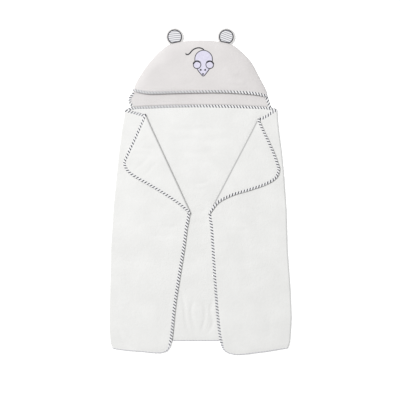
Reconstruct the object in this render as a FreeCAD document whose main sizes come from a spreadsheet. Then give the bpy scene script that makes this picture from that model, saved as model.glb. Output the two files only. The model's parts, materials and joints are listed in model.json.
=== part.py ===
import FreeCAD, Part
import Sketcher
import math
import os
from FreeCAD import Placement, Rotation, Vector

# A hooded baby towel laid out flat. The body is one wide terry cut with a bias binding round it.
# Both sides are folded in over the back, and the upper corner of each flap is turned back out as a
# lapel. A hood of two pieces, with two round ears and a mouse on its front, is sewn to the neck.
# Origin: under the middle of the neck seam, on the underside. +X is to the wearer's left as the
# towel is looked down on (to the right of the sheet), +Y runs up to the hood, +Z is up.
# The body is cut and bound flat, then each zone is turned about its own fold line into place.

doc = FreeCAD.newDocument("HoodedBabyTowel")

# ---------------------------------------------------------------- driving dimensions, mm and degrees
driving = [
    ("clothThick", 3.0, "terry, from pile to pile"),
    ("layerGap", 1.0, "air between two layers that lie on each other"),
    ("foldGap", 0.3, "a panel stops this short of its fold axis"),
    ("bindingWidth", 10.0, "bias binding seen on one face"),
    ("bindingWrap", 1.2, "binding outside the raw edge"),
    ("tongueThick", 1.4, "cloth pressed flat between the two sides of the binding"),
    ("cornerRadius", 34.0, "free corners of the body"),
    ("neckHalf", 215.0, "half the neck seam"),
    ("neckEdge", 5.0, "neck edge of the body above the seam line"),
    ("shoulderHalf", 455.0, "half width of the flat cut at its upper corners"),
    ("shoulderDrop", 46.0, "upper corners below the seam line"),
    ("hemHalf", 463.0, "half width of the flat cut at its lower corners"),
    ("hemDrop", 706.0, "lower corners below the seam line"),
    ("foldTopLeft", 227.0, "left side fold at the seam line"),
    ("foldTopRight", 226.0, "right side fold at the seam line"),
    ("foldLowLeft", 268.0, "left side fold at the lower gauge line"),
    ("foldLowRight", 265.0, "right side fold at the lower gauge line"),
    ("foldGauge", 640.0, "lower gauge line below the seam line"),
    ("creaseTopLeft", 161.9, "upper end of the left lapel crease, out from the middle"),
    ("creaseTopRight", 176.6, "upper end of the right lapel crease, out from the middle"),
    ("creaseHighLeft", 28.5, "upper end of the left crease, below the seam line"),
    ("creaseHighRight", 25.7, "upper end of the right crease, below the seam line"),
    ("creaseEnd", 38.0, "lower end of both creases, out from the middle"),
    ("creaseLowLeft", 296.9, "lower end of the left crease, below the seam line"),
    ("creaseLowRight", 291.1, "lower end of the right crease, below the seam line"),
    ("hoodStart", 5.3, "lower edge of the hood back"),
    ("hoodOpening", 41.0, "edge of the hood front, above the seam line"),
    ("hoodSideX", 197.0, "half width of the hood where its seam starts"),
    ("hoodShoulderX", 91.0, "where the side of the hood meets its top, out from the middle"),
    ("hoodShoulderY", 188.0, "the same, above the seam line"),
    ("hoodTopY", 199.0, "top of the hood"),
    ("hoodSideBow", 17.0, "bow of the side of the hood out of its chord"),
    ("hoodEdgeBow", 5.0, "bow of the short bound edge beside the neck"),
    ("pocketDepth", 6.5, "room between the two pieces of the hood"),
    ("hoodRoll", 7.0, "rounding of the hood front over its seam"),
    ("earX", 76.0, "middle of each ear, out from the middle"),
    ("earY", 209.0, "middle of each ear, above the seam line"),
    ("earRadius", 26.5, "outer edge of the ear"),
    ("earLean", 22.0, "degrees that each ear leans out"),
    ("earPly", 2.5, "each of the two ear pieces"),
    ("earLift", 1.0, "ear above the surface that the towel lies on"),
    ("earClear", 4.3, "moving part of the ear beyond the hood's seam; it bends just inside this"),
    ("patchRadius", 20.0, "striped inner patch of the ear"),
    ("patchThick", 0.6, "appliqued cotton"),
    ("satinWidth", 2.5, "satin stitch border"),
    ("satinThick", 1.0, "satin stitch border above the cloth"),
    ("rootThick", 2.0, "flattened root of the ear"),
    ("rootLength", 12.0, "root of the ear, before the hood's seam trims it"),
    ("rootInset", 2.0, "root of the ear narrower than the ear at each end"),
    ("mouseX", 8.0, "middle of the mouse, right of the middle"),
    ("mouseY", 122.5, "middle of the mouse, above the seam line"),
    ("mouseBack", 24.0, "radius of the mouse's back"),
    ("mouseNose", 9.5, "radius of the mouse's muzzle"),
    ("mouseSpan", 38.0, "distance between those two centres"),
    ("mouseEar", 8.5, "radius of the mouse's ears"),
    ("mouseEarX", 19.5, "middle of each of the mouse's ears, out from its middle"),
    ("mouseEarY", 3.5, "the same, above its middle"),
    ("mouseEye", 2.3, "radius of the eyes"),
    ("mouseEyeX", 6.5, "eyes, out from the mouse's middle"),
    ("mouseEyeY", 12.0, "eyes, below the mouse's middle"),
    ("mouseNoseDot", 2.1, "radius of the nose"),
    ("mouseNoseY", 23.5, "nose, below the mouse's middle"),
    ("tailStartX", 2.0, "root of the tail, right of the mouse's middle"),
    ("tailCrestX", 12.0, "crest of the tail, left of the mouse's middle"),
    ("tailCrestY", 53.5, "crest of the tail, above the mouse's middle"),
    ("tailTurnX", 29.0, "where the tail turns the other way, left of the middle"),
    ("tailTurnY", 45.0, "the same, above the middle"),
    ("tailEndX", 51.0, "tip of the tail, left of the middle"),
    ("tailEndY", 37.0, "the same, above the middle"),
]
sheet = doc.addObject("Spreadsheet::Sheet", "Dims")
for row, (alias, value, note) in enumerate(driving, start=1):
    sheet.set("A%d" % row, note)
    sheet.set("B%d" % row, str(value))
    sheet.setAlias("B%d" % row, alias)
doc.recompute()


def size(alias):
    return float(getattr(sheet, alias))


parts = []


def part(thing, label):
    """Gives a finished sub-part its name."""
    thing.Label = label
    parts.append(thing)
    return thing


# blocks that only cut reach well past the cloth on every side
cutterReach = 1200.0
cutterFoot = -30.0
cutterHeight = 60.0
cutterLow = str(cutterFoot)
cutterHigh = str(cutterFoot + cutterHeight)


# ---------------------------------------------------------------- small builders
def extrude(name, profile, bottom, top):
    """A solid from a closed profile, between two heights given as expressions."""
    solid = doc.addObject("Part::Extrusion", name)
    solid.Base = profile
    solid.DirMode = "Custom"
    solid.Dir = Vector(0, 0, 1)
    solid.Solid = True
    solid.setExpression("LengthFwd", top)
    solid.setExpression("LengthRev", "-(%s)" % bottom)
    return solid


def faceOf(name, sketch):
    """The flat face that a closed sketch bounds."""
    face = doc.addObject("Part::Face", name)
    face.Sources = [sketch]
    face.FaceMakerClass = "Part::FaceMakerBullseye"
    return face


def offset(name, profile, distance):
    """A face grown outwards, or shrunk if the distance is negative."""
    grown = doc.addObject("Part::Offset2D", name)
    grown.Source = profile
    grown.Mode = "Skin"
    grown.Join = "Arc"
    grown.setExpression("Value", distance)
    return grown


def combine(kind, name, base, tool):
    """Cut, Common or Fuse of two solids."""
    result = doc.addObject("Part::" + kind, name)
    result.Base = base
    result.Tool = tool
    return result


def frameAt(point, xAxis, yAxis):
    """A placement at a point, with its x and y axes along two given directions."""
    zAxis = xAxis.cross(yAxis)
    return Placement(point, Rotation(xAxis, yAxis, zAxis, "ZXY"))


def originPlane(body, role):
    for feature in body.Origin.OriginFeatures:
        if feature.Role == role:
            return feature
    raise RuntimeError("no plane " + role)


def bodySketch(body, name, lift):
    """A sketch on the body's own XY plane, raised to a height given as an expression."""
    sketch = body.newObject("Sketcher::SketchObject", name)
    sketch.AttachmentSupport = [(originPlane(body, "XY_Plane"), "")]
    sketch.MapMode = "FlatFace"
    sketch.setExpression("AttachmentOffset.Base.z", lift)
    return sketch


def joinEnds(sketch, count):
    """Closes a ring of edges, each one's end on the next one's start."""
    for edge in range(count):
        sketch.addConstraint(Sketcher.Constraint("Coincident", edge, 2, (edge + 1) % count, 1))


def fixPoint(sketch, edge, end, across, up, tag):
    """Holds an edge's end at two distances from the origin, each an expression."""
    point = sketch.getPoint(edge, end)
    for kind, value, expression in (("DistanceX", point.x, across), ("DistanceY", point.y, up)):
        sketch.addConstraint(Sketcher.Constraint(kind, -1, 1, edge, end, value))
        sketch.renameConstraint(sketch.ConstraintCount - 1, tag + kind[-1])
        sketch.setExpression("Constraints." + tag + kind[-1], expression)


def flipped(point):
    """The same point on the other side of the towel's middle line."""
    return Vector(-point.x, point.y, 0)


def sideways(vector):
    """The horizontal direction at right angles to a vector, to its left."""
    return Vector(-vector.y, vector.x, 0).normalize()


# ---------------------------------------------------------------- the flat cut of the body
# Seen from above: straight neck, shoulders that slope to the upper corners, sides that spread a
# little towards the hem, and a straight hem.
neckX, neckY = size("neckHalf"), size("neckEdge")
shoulderX, shoulderY = size("shoulderHalf"), -size("shoulderDrop")
hemX, hemY = size("hemHalf"), -size("hemDrop")
cut = doc.addObject("Sketcher::SketchObject", "FlatCut")
corners = [
    Vector(-neckX, neckY, 0),
    Vector(neckX, neckY, 0),
    Vector(shoulderX, shoulderY, 0),
    Vector(hemX, hemY, 0),
    Vector(-hemX, hemY, 0),
    Vector(-shoulderX, shoulderY, 0),
]
for index, corner in enumerate(corners):
    cut.addGeometry(Part.LineSegment(corner, corners[(index + 1) % len(corners)]), False)
joinEnds(cut, len(corners))
fixPoint(cut, 0, 2, "Dims.neckHalf", "Dims.neckEdge", "neck")
fixPoint(cut, 1, 2, "Dims.shoulderHalf", "-Dims.shoulderDrop", "shoulder")
fixPoint(cut, 2, 2, "Dims.hemHalf", "-Dims.hemDrop", "hem")
for left, right in (((0, 1), (0, 2)), ((4, 2), (1, 2)), ((4, 1), (2, 2))):
    cut.addConstraint(Sketcher.Constraint("Symmetric", *left, *right, -2))
doc.recompute()

# shrunk by the corner radius and grown again, so that every free corner is round
core = offset("CutCore", faceOf("CutFace", cut), "-Dims.cornerRadius")
fullEdge = offset("FullEdge", core, "Dims.cornerRadius")
panelEdge = offset("PanelEdge", core, "Dims.cornerRadius - Dims.bindingWidth")
tongueEdge = offset("TongueEdge", core, "Dims.cornerRadius - Dims.bindingWrap")

fullSlab = extrude("FullSlab", fullEdge, "0", "Dims.clothThick")
thickPanel = extrude("ThickPanel", panelEdge, "0", "Dims.clothThick")
tongue = extrude(
    "Tongue",
    tongueEdge,
    "(Dims.clothThick - Dims.tongueThick) / 2",
    "(Dims.clothThick + Dims.tongueThick) / 2",
)
# the panel keeps its pile inside the binding, and its pressed edge fills the binding's slot
panel = combine("Fuse", "Panel", thickPanel, tongue)
binding = combine("Cut", "Binding", fullSlab, panel)
# tall copies of the same edges, which trim the folds
tallFull = extrude("TallFull", fullEdge, cutterLow, cutterHigh)
tallPanel = extrude("TallPanel", panelEdge, cutterLow, cutterHigh)

# ---------------------------------------------------------------- fold lines
thick = size("clothThick")
gap = size("layerGap")
trim = size("foldGap")
sideAxisZ = thick + gap / 2  # a flap comes to lie one gap above the back
creaseAxisZ = -gap / 2  # in the flat cut, so the lapel comes to lie one gap above the flap


class Fold:
    """A straight fold line in the flat cut; outward is the side that turns over."""

    def __init__(self, upper, lower, outward, height):
        self.point = Vector(upper.x, upper.y, height)
        self.along = (lower - upper).normalize()
        self.outward = outward
        self.height = height

    def turned(self):
        """The half turn about the line that lays the outward side on the other."""
        return Placement(Vector(0, 0, 0), Rotation(self.along, 180), self.point)

    def beyond(self, name, shift):
        """A block that covers the outward side, starting a little way off the line."""
        block = doc.addObject("Part::Box", name)
        block.Length = cutterReach
        block.Width = 2 * cutterReach
        block.Height = cutterHeight
        yAxis = Vector(0, 0, 1).cross(self.outward)
        start = self.point + self.outward * shift - yAxis * cutterReach
        start.z = cutterFoot
        block.Placement = frameAt(start, self.outward, yAxis)
        return block

    def bend(self, name):
        """The half tube of cloth round the line, much longer than the cut."""
        tubes = []
        for end, radius in (("Out", "Dims.clothThick + Dims.layerGap / 2"), ("In", "Dims.layerGap / 2")):
            tube = doc.addObject("Part::Cylinder", name + end)
            tube.setExpression("Radius", radius)
            tube.Height = 2 * cutterReach
            tube.Angle = 180
            start = self.point - self.along * cutterReach
            upright = self.outward.cross(self.along)
            tube.Placement = frameAt(start, upright, self.outward)
            tubes.append(tube)
        return combine("Cut", name, tubes[0], tubes[1])


def mirrored(point, fold):
    """Where a point of the folded towel lies in the flat cut."""
    offsetFromFold = (point - Vector(fold.point.x, fold.point.y, 0)).dot(fold.outward)
    return point - fold.outward * (2 * offsetFromFold)


folds = {}
creases = {}
for side, sign in (("Left", -1), ("Right", 1)):
    upper = Vector(sign * size("foldTop" + side), 0, 0)
    lower = Vector(sign * size("foldLow" + side), -size("foldGauge"), 0)
    outward = sideways(lower - upper) * sign
    folds[side] = Fold(upper, lower, outward, sideAxisZ)
    foldedUpper = Vector(sign * size("creaseTop" + side), -size("creaseHigh" + side), 0)
    foldedLower = Vector(sign * size("creaseEnd"), -size("creaseLow" + side), 0)
    flatUpper = mirrored(foldedUpper, folds[side])
    flatLower = mirrored(foldedLower, folds[side])
    outward = sideways(flatLower - flatUpper) * sign
    creases[side] = Fold(flatUpper, flatLower, outward, creaseAxisZ)

# ---------------------------------------------------------------- the back, which stays on the table
leftAway = folds["Left"].beyond("LeftAway", -trim)
rightAway = folds["Right"].beyond("RightAway", -trim)


def backZone(name, solid):
    return combine("Cut", name, combine("Cut", name + "Half", solid, leftAway), rightAway)


part(backZone("BackPanel", panel), "back_panel")
backBinding = backZone("BackBinding", binding)
upperHalf = doc.addObject("Part::Box", "UpperHalf")
upperHalf.Length = cutterReach
upperHalf.Width = cutterReach
upperHalf.Height = cutterHeight
upperHalf.Placement.Base = Vector(-cutterReach / 2, -cutterReach / 4, cutterFoot)
part(combine("Common", "NeckBinding", backBinding, upperHalf), "neck_binding")
part(combine("Cut", "BackHem", backBinding, upperHalf), "back_hem_binding")

# ---------------------------------------------------------------- flaps, lapels and their folds
for side in ("Left", "Right"):
    word = side.lower()
    fold = folds[side]
    crease = creases[side]
    flapTurn = fold.turned()
    lapelTurn = flapTurn * crease.turned()

    bend = fold.bend(side + "SideBend")
    sideFold = combine("Common", side + "SideFold", bend, tallPanel)
    part(sideFold, word + "_side_fold")
    sideEdge = combine("Common", side + "SideEdge", bend, tallFull)
    part(combine("Cut", side + "SideFoldBinding", sideEdge, tallPanel), word + "_side_fold_binding")

    outside = fold.beyond(side + "Outside", trim)
    corner = crease.beyond(side + "Corner", trim)
    cornerAway = crease.beyond(side + "CornerAway", -trim)
    for solid, ending in ((panel, "panel"), (binding, "binding")):
        title = side + ending.capitalize()
        half = combine("Common", title + "Half", solid, outside)
        flap = part(combine("Cut", title + "Flap", half, cornerAway), word + "_flap_" + ending)
        flap.Placement = flapTurn
        lapel = part(combine("Common", title + "Lapel", half, corner), word + "_lapel_" + ending)
        lapel.Placement = lapelTurn

    roll = crease.bend(side + "CreaseBend")
    creaseRoll = part(combine("Common", side + "Crease", roll, tallPanel), word + "_lapel_crease")
    creaseRoll.Placement = flapTurn
    rollEdge = combine("Common", side + "CreaseEdge", roll, tallFull)
    creaseBinding = combine("Cut", side + "CreaseBinding", rollEdge, tallPanel)
    part(creaseBinding, word + "_lapel_crease_binding")
    creaseBinding.Placement = flapTurn


# ---------------------------------------------------------------- the hood
def hoodArcs(sketch, startX, startY, startTag):
    """Right side, top and left side of the hood, as three arcs that start beside the neck."""
    side = Vector(startX, startY, 0)
    shoulder = Vector(size("hoodShoulderX"), size("hoodShoulderY"), 0)
    top = Vector(0, size("hoodTopY"), 0)
    chord = shoulder - side
    bowed = (side + shoulder) * 0.5 - sideways(chord) * size("hoodSideBow")
    first = sketch.addGeometry(Part.Arc(side, bowed, shoulder), False)
    sketch.addGeometry(Part.Arc(shoulder, top, flipped(shoulder)), False)
    sketch.addGeometry(Part.Arc(flipped(shoulder), flipped(bowed), flipped(side)), False)
    sketch.addConstraint(Sketcher.Constraint("Coincident", first, 2, first + 1, 1))
    sketch.addConstraint(Sketcher.Constraint("Coincident", first + 1, 2, first + 2, 1))
    fixPoint(sketch, first, 1, *startTag)
    fixPoint(sketch, first, 2, "Dims.hoodShoulderX", "Dims.hoodShoulderY", "shoulder")
    sketch.addConstraint(Sketcher.Constraint("Symmetric", first, 1, first + 2, 2, -2))
    sketch.addConstraint(Sketcher.Constraint("Symmetric", first, 2, first + 2, 1, -2))
    sideChord = "((Dims.hoodSideX - Dims.hoodShoulderX)^2 + (Dims.hoodShoulderY - Dims.hoodOpening)^2)"
    sideRadius = "(%s / 4 + Dims.hoodSideBow^2) / (2 * Dims.hoodSideBow)" % sideChord
    crown = "(Dims.hoodTopY - Dims.hoodShoulderY)"
    topRadius = "(Dims.hoodShoulderX^2 + %s^2) / (2 * %s)" % (crown, crown)
    for edge, tag, formula in (
        (first, "rightSide", sideRadius),
        (first + 1, "crown", topRadius),
        (first + 2, "leftSide", sideRadius),
    ):
        radius = sketch.Geometry[edge].Radius
        sketch.addConstraint(Sketcher.Constraint("Radius", edge, radius))
        sketch.renameConstraint(sketch.ConstraintCount - 1, tag)
        sketch.setExpression("Constraints." + tag, formula)
    return first


# the hood back runs from the neck to the crown; its two short free edges beside the neck are bound
hoodBack = doc.addObject("PartDesign::Body", "HoodBack")
backSketch = bodySketch(hoodBack, "HoodBackShape", "0")
openingY = size("hoodOpening")
seamStart = Vector(size("hoodSideX"), openingY, 0)
neckEnd = Vector(neckX, size("hoodStart"), 0)
edgeChord = seamStart - neckEnd
edgeBowed = (seamStart + neckEnd) * 0.5 - sideways(edgeChord) * size("hoodEdgeBow")
hoodArcs(backSketch, seamStart.x, seamStart.y, ("Dims.hoodSideX", "Dims.hoodOpening", "seam"))
backSketch.addGeometry(Part.Arc(flipped(seamStart), flipped(edgeBowed), flipped(neckEnd)), False)
backSketch.addGeometry(Part.LineSegment(flipped(neckEnd), neckEnd), False)
backSketch.addGeometry(Part.Arc(neckEnd, edgeBowed, seamStart), False)
for link in ((2, 2, 3, 1), (3, 2, 4, 1), (4, 2, 5, 1), (5, 2, 0, 1)):
    backSketch.addConstraint(Sketcher.Constraint("Coincident", *link))
fixPoint(backSketch, 4, 2, "Dims.neckHalf", "Dims.hoodStart", "neck")
backSketch.addConstraint(Sketcher.Constraint("Symmetric", 4, 1, 4, 2, -2))
edgeLength = "((Dims.neckHalf - Dims.hoodSideX)^2 + (Dims.hoodOpening - Dims.hoodStart)^2)"
edgeRadius = "(%s / 4 + Dims.hoodEdgeBow^2) / (2 * Dims.hoodEdgeBow)" % edgeLength
for edge, tag in ((3, "leftEdge"), (5, "rightEdge")):
    backSketch.addConstraint(Sketcher.Constraint("Radius", edge, backSketch.Geometry[edge].Radius))
    backSketch.renameConstraint(backSketch.ConstraintCount - 1, tag)
    backSketch.setExpression("Constraints." + tag, edgeRadius)
backPad = hoodBack.newObject("PartDesign::Pad", "HoodBackPad")
backPad.Profile = backSketch
backPad.setExpression("Length", "Dims.clothThick")
doc.recompute()

# a strip as wide as the binding along each of the short edges
for side, sign in (("Left", -1), ("Right", 1)):
    foot = Vector(sign * neckEnd.x, neckEnd.y, 0)
    head = Vector(sign * seamStart.x, seamStart.y, 0)
    along = (head - foot).normalize()
    outward = sideways(along) * -sign
    strip = doc.addObject("Part::Box", side + "EdgeStrip")
    strip.Height = cutterHeight
    strip.Width = (head - foot).Length
    strip.setExpression("Length", "Dims.bindingWidth + 2 * Dims.hoodEdgeBow")
    upright = Vector(0, 0, 1).cross(outward)
    start = (foot if upright.dot(along) > 0 else head) - outward * size("bindingWidth")
    start.z = cutterFoot
    strip.Placement = frameAt(start, outward, upright)
    part(combine("Common", side + "HoodEdge", hoodBack, strip), "hood_%s_edge_binding" % side.lower())
leftEdge = doc.getObject("LeftHoodEdge")
rightEdge = doc.getObject("RightHoodEdge")
withoutLeftEdge = combine("Cut", "HoodBackLess", hoodBack, leftEdge)
part(combine("Cut", "HoodBackPanel", withoutLeftEdge, rightEdge), "hood_back_panel")

# the hood front stands on the curved seam as a low open pocket: padded up, rolled over its seam,
# and hollowed out through its underside and its opening
hoodFront = doc.addObject("PartDesign::Body", "HoodFront")
frontSketch = bodySketch(hoodFront, "HoodFrontShape", "Dims.clothThick")
hoodArcs(frontSketch, seamStart.x, seamStart.y, ("Dims.hoodSideX", "Dims.hoodOpening", "seam"))
frontSketch.addGeometry(Part.LineSegment(flipped(seamStart), seamStart), False)
frontSketch.addConstraint(Sketcher.Constraint("Coincident", 2, 2, 3, 1))
frontSketch.addConstraint(Sketcher.Constraint("Coincident", 3, 2, 0, 1))
frontPad = hoodFront.newObject("PartDesign::Pad", "HoodFrontPad")
frontPad.Profile = frontSketch
frontPad.setExpression("Length", "Dims.pocketDepth + Dims.clothThick")
doc.recompute()
topZ = thick + size("pocketDepth") + thick


def edgesWhere(shape, test):
    return ["Edge%d" % (number + 1) for number, edge in enumerate(shape.Edges) if test(edge)]


def onTopRim(edge):
    middle = edge.CenterOfMass
    box = edge.BoundBox
    return box.ZMin > topZ - 0.01 and box.YMax > openingY + 1 and middle.y > openingY + 1


frontRoll = hoodFront.newObject("PartDesign::Fillet", "HoodFrontRoll")
frontRoll.Base = (frontPad, edgesWhere(frontPad.Shape, onTopRim))
frontRoll.setExpression("Radius", "Dims.hoodRoll")
doc.recompute()


# the room inside follows the seam one cloth further in
pastFace = 1.0  # a hollow's block starts this far outside the face that it opens
pocketFace = offset("PocketFace", faceOf("HoodFrontFace", frontSketch), "-Dims.clothThick")
pocketBlock = extrude("PocketBlock", pocketFace, str(-pastFace), "Dims.pocketDepth")
frontShell = combine("Cut", "HoodFrontShell", hoodFront, pocketBlock)
# the pocket is open all along the front edge
mouth = doc.addObject("Part::Box", "PocketMouth")
mouthHalf = size("hoodSideX") - 2 * thick
mouth.Length = 2 * mouthHalf
mouth.setExpression("Width", "Dims.clothThick + %s" % (2 * pastFace))
mouth.setExpression("Height", "Dims.pocketDepth + %s" % pastFace)
mouth.Placement.Base = Vector(-mouthHalf, openingY - pastFace, thick - pastFace)
openShell = combine("Cut", "HoodFrontOpen", frontShell, mouth)

lip = doc.addObject("Part::Box", "OpeningStrip")
lip.Length = 2 * neckX
lip.Height = cutterHeight
lip.setExpression("Width", "Dims.bindingWidth")
lip.Placement.Base = Vector(-neckX, openingY, cutterFoot)
part(combine("Common", "OpeningBinding", openShell, lip), "hood_opening_binding")
part(combine("Cut", "HoodFrontPanel", openShell, lip), "hood_front_panel")

# ---------------------------------------------------------------- the ears
# Each ear is two terry rounds sewn edge to edge, cut off straight where it meets the hood's curved
# seam. It leans out with the seam and bends about a line just beyond it.
lean = math.radians(size("earLean"))
hoodSolid = extrude("HoodBlock", backSketch, cutterLow, cutterHigh)


def earFrame(sign):
    """The ear's middle, the way it leans, and how far below its middle the hood's seam is."""
    centre = Vector(sign * size("earX"), size("earY"), 0)
    up = Vector(sign * math.sin(lean), math.cos(lean), 0)
    shoulder = Vector(sign * size("hoodShoulderX"), size("hoodShoulderY"), 0)
    below = (centre - shoulder).dot(up)
    return centre, up, below


def earRound(name, radius, cutoff, low, high):
    """A disc cut off by a chord, the ear's middle at its origin, the ear's own up along y."""
    body = doc.addObject("PartDesign::Body", name)
    sketch = bodySketch(body, name + "Shape", low)
    half = math.sqrt(radius ** 2 - cutoff ** 2)
    left = Vector(-half, -cutoff, 0)
    right = Vector(half, -cutoff, 0)
    sketch.addGeometry(Part.Arc(right, Vector(0, radius, 0), left), False)
    sketch.addGeometry(Part.LineSegment(left, right), False)
    sketch.addConstraint(Sketcher.Constraint("Coincident", 0, 2, 1, 1))
    sketch.addConstraint(Sketcher.Constraint("Coincident", 1, 2, 0, 1))
    sketch.addConstraint(Sketcher.Constraint("Coincident", 0, 3, -1, 1))
    sketch.addConstraint(Sketcher.Constraint("Horizontal", 1))
    sketch.addConstraint(Sketcher.Constraint("Radius", 0, radius))
    sketch.addConstraint(Sketcher.Constraint("DistanceY", 1, 1, -1, 1, cutoff))
    pad = body.newObject("PartDesign::Pad", name + "Pad")
    pad.Profile = sketch
    pad.setExpression("Length", "(%s) - (%s)" % (high, low))
    doc.recompute()
    return body


earBottom = "Dims.earLift"
earMiddle = "Dims.earLift + Dims.earPly"
earTop = "Dims.earLift + 2 * Dims.earPly"
for side, sign in (("Left", -1), ("Right", 1)):
    word = side.lower()
    centre, up, below = earFrame(sign)
    place = Placement(centre, Rotation(Vector(0, 0, 1), -sign * size("earLean")))
    base = below - size("earClear")
    back = earRound(side + "EarBack", size("earRadius"), base, earBottom, earMiddle)
    front = earRound(side + "EarFront", size("earRadius"), base, earMiddle, earTop)
    inner = size("patchRadius")
    outer = inner + size("satinWidth")
    patch = earRound(side + "EarPatch", inner, base, earTop, earTop + " + Dims.patchThick")
    rimBlock = earRound(side + "EarRim", outer, base, earTop, earTop + " + Dims.satinThick")
    patchHole = earRound(side + "PatchHole", inner, base, earTop, cutterHigh)
    for piece, label in ((back, "back"), (front, "front"), (patch, "patch")):
        piece.Placement = place
        part(piece, "%s_ear_%s" % (word, label))
    satin = combine("Cut", side + "EarSatin", rimBlock, patchHole)
    satin.Placement = place
    part(satin, word + "_ear_outline")

    # the flattened root of the ear, between the seam and the bend line
    root = doc.addObject("Part::Box", side + "RootBlock")
    root.Length = 2 * math.sqrt(size("earRadius") ** 2 - base ** 2) - 2 * size("rootInset")
    root.Width = size("rootLength")
    root.setExpression("Height", "Dims.rootThick")
    across = Vector(up.y, -up.x, 0)
    rootTop = base + trim
    start = centre - up * (rootTop + root.Width.Value) - across * (root.Length.Value / 2)
    start.z = size("earLift") + size("earPly") - size("rootThick") / 2
    root.Placement = frameAt(start, across, up)
    part(combine("Cut", side + "EarRoot", root, hoodSolid), word + "_ear_root")

# ---------------------------------------------------------------- the mouse on the hood front
# A plain mouse seen from above: an egg of two rounds joined by tangents, its muzzle down, with two
# round ears, a small face and a curled tail, edged all round in satin stitch.
mouseSpot = Vector(size("mouseX"), size("mouseY"), 0)
spanAngle = math.asin((size("mouseBack") - size("mouseNose")) / size("mouseSpan"))
backCentre = Vector(0, size("mouseSpan") / 2, 0)
noseCentre = Vector(0, -size("mouseSpan") / 2, 0)
egg = doc.addObject("Sketcher::SketchObject", "MouseEgg")


def onRound(centre, radius, angle):
    return centre + Vector(math.cos(angle), math.sin(angle), 0) * radius


low = -spanAngle
high = math.pi + spanAngle
backRight = onRound(backCentre, size("mouseBack"), low)
backTop = onRound(backCentre, size("mouseBack"), math.pi / 2)
backLeft = onRound(backCentre, size("mouseBack"), high)
noseLeft = onRound(noseCentre, size("mouseNose"), high)
noseTip = onRound(noseCentre, size("mouseNose"), -math.pi / 2)
noseRight = onRound(noseCentre, size("mouseNose"), low)
egg.addGeometry(Part.Arc(backRight, backTop, backLeft), False)
egg.addGeometry(Part.LineSegment(backLeft, noseLeft), False)
egg.addGeometry(Part.Arc(noseLeft, noseTip, noseRight), False)
egg.addGeometry(Part.LineSegment(noseRight, backRight), False)
for link in ((0, 2, 1, 1), (1, 2, 2, 1), (2, 2, 3, 1), (3, 2, 0, 1)):
    egg.addConstraint(Sketcher.Constraint("Tangent", *link))
egg.addConstraint(Sketcher.Constraint("PointOnObject", 0, 3, -2))
egg.addConstraint(Sketcher.Constraint("PointOnObject", 2, 3, -2))
for kind, reference, value, tag, formula in (
    ("Radius", (0,), size("mouseBack"), "back", "Dims.mouseBack"),
    ("Radius", (2,), size("mouseNose"), "nose", "Dims.mouseNose"),
    ("DistanceY", (-1, 1, 0, 3), size("mouseSpan") / 2, "rise", "Dims.mouseSpan / 2"),
    ("DistanceY", (2, 3, 0, 3), size("mouseSpan"), "span", "Dims.mouseSpan"),
):
    egg.addConstraint(Sketcher.Constraint(kind, *reference, value))
    egg.renameConstraint(egg.ConstraintCount - 1, tag)
    egg.setExpression("Constraints." + tag, formula)
egg.Placement = Placement(mouseSpot, Rotation())

hoodTop = "2 * Dims.clothThick + Dims.pocketDepth"
patchTop = hoodTop + " + Dims.patchThick"
satinTop = hoodTop + " + Dims.satinThick"
mouseBody = extrude("MouseBody", egg, hoodTop, patchTop)


def disc(name, centre, radius, top):
    """A round patch on the hood front, its middle given from the mouse's middle."""
    coin = doc.addObject("Part::Cylinder", name)
    coin.setExpression("Radius", radius)
    coin.setExpression("Height", "%s - (%s)" % (top, hoodTop))
    coin.Placement = Placement(mouseSpot + centre + Vector(0, 0, topZ), Rotation())
    return coin


# each ear is a round patch that stands out from behind the egg, edged like it
earSpots = [Vector(sign * size("mouseEarX"), size("mouseEarY"), 0) for sign in (-1, 1)]


def earDiscs(name, radius, top):
    """Both of the mouse's ears, as one solid of two discs."""
    pair = []
    for index, spot in enumerate(earSpots):
        pair.append(disc("%s%d" % (name, index), spot, radius, top))
    return combine("Fuse", name, *pair)


part(mouseBody, "mouse_body")
mouseGrown = offset("MouseGrown", faceOf("MouseEggFace", egg), "Dims.satinWidth")
eggSocket = extrude("MouseEggSocket", mouseGrown, hoodTop, cutterHigh)
mouseEars = combine("Cut", "MouseEars", earDiscs("MouseEar", "Dims.mouseEar", patchTop), eggSocket)
part(mouseEars, "mouse_ears")
eggEdge = extrude("MouseEggEdge", mouseGrown, hoodTop, satinTop)
earEdge = earDiscs("MouseEarEdge", "Dims.mouseEar + Dims.satinWidth", satinTop)
allEdge = combine("Fuse", "MouseEdge", earEdge, eggEdge)
eggHole = extrude("MouseEggHole", egg, hoodTop, cutterHigh)
withoutEgg = combine("Cut", "MouseEdgeOpen", allEdge, eggHole)
part(combine("Cut", "MouseOutline", withoutEgg, mouseEars), "mouse_outline")

# eyes and nose are raised satin dots on the egg
faceSpots = [
    ("Dims.mouseEye", Vector(-size("mouseEyeX"), -size("mouseEyeY"), 0)),
    ("Dims.mouseEye", Vector(size("mouseEyeX"), -size("mouseEyeY"), 0)),
    ("Dims.mouseNoseDot", Vector(0, -size("mouseNoseY"), 0)),
]
faceDots = []
for index, (radius, spot) in enumerate(faceSpots):
    dot = disc("MouseDot%d" % index, spot, radius, patchTop)
    dot.Placement.Base += Vector(0, 0, size("patchThick"))
    faceDots.append(dot)
face = doc.addObject("Part::MultiFuse", "MouseFace")
face.Shapes = faceDots
part(face, "mouse_face")


def arcOnward(start, direction, end):
    """An arc that leaves its start in a given direction and reaches its end."""
    chord = end - start
    along = Vector(chord).normalize()
    across = (direction - along * direction.dot(along)).normalize()
    bow = chord.Length / 2 * math.tan(direction.getAngle(chord) / 2)
    return Part.Arc(start, (start + end) * 0.5 + across * bow, end)


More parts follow.
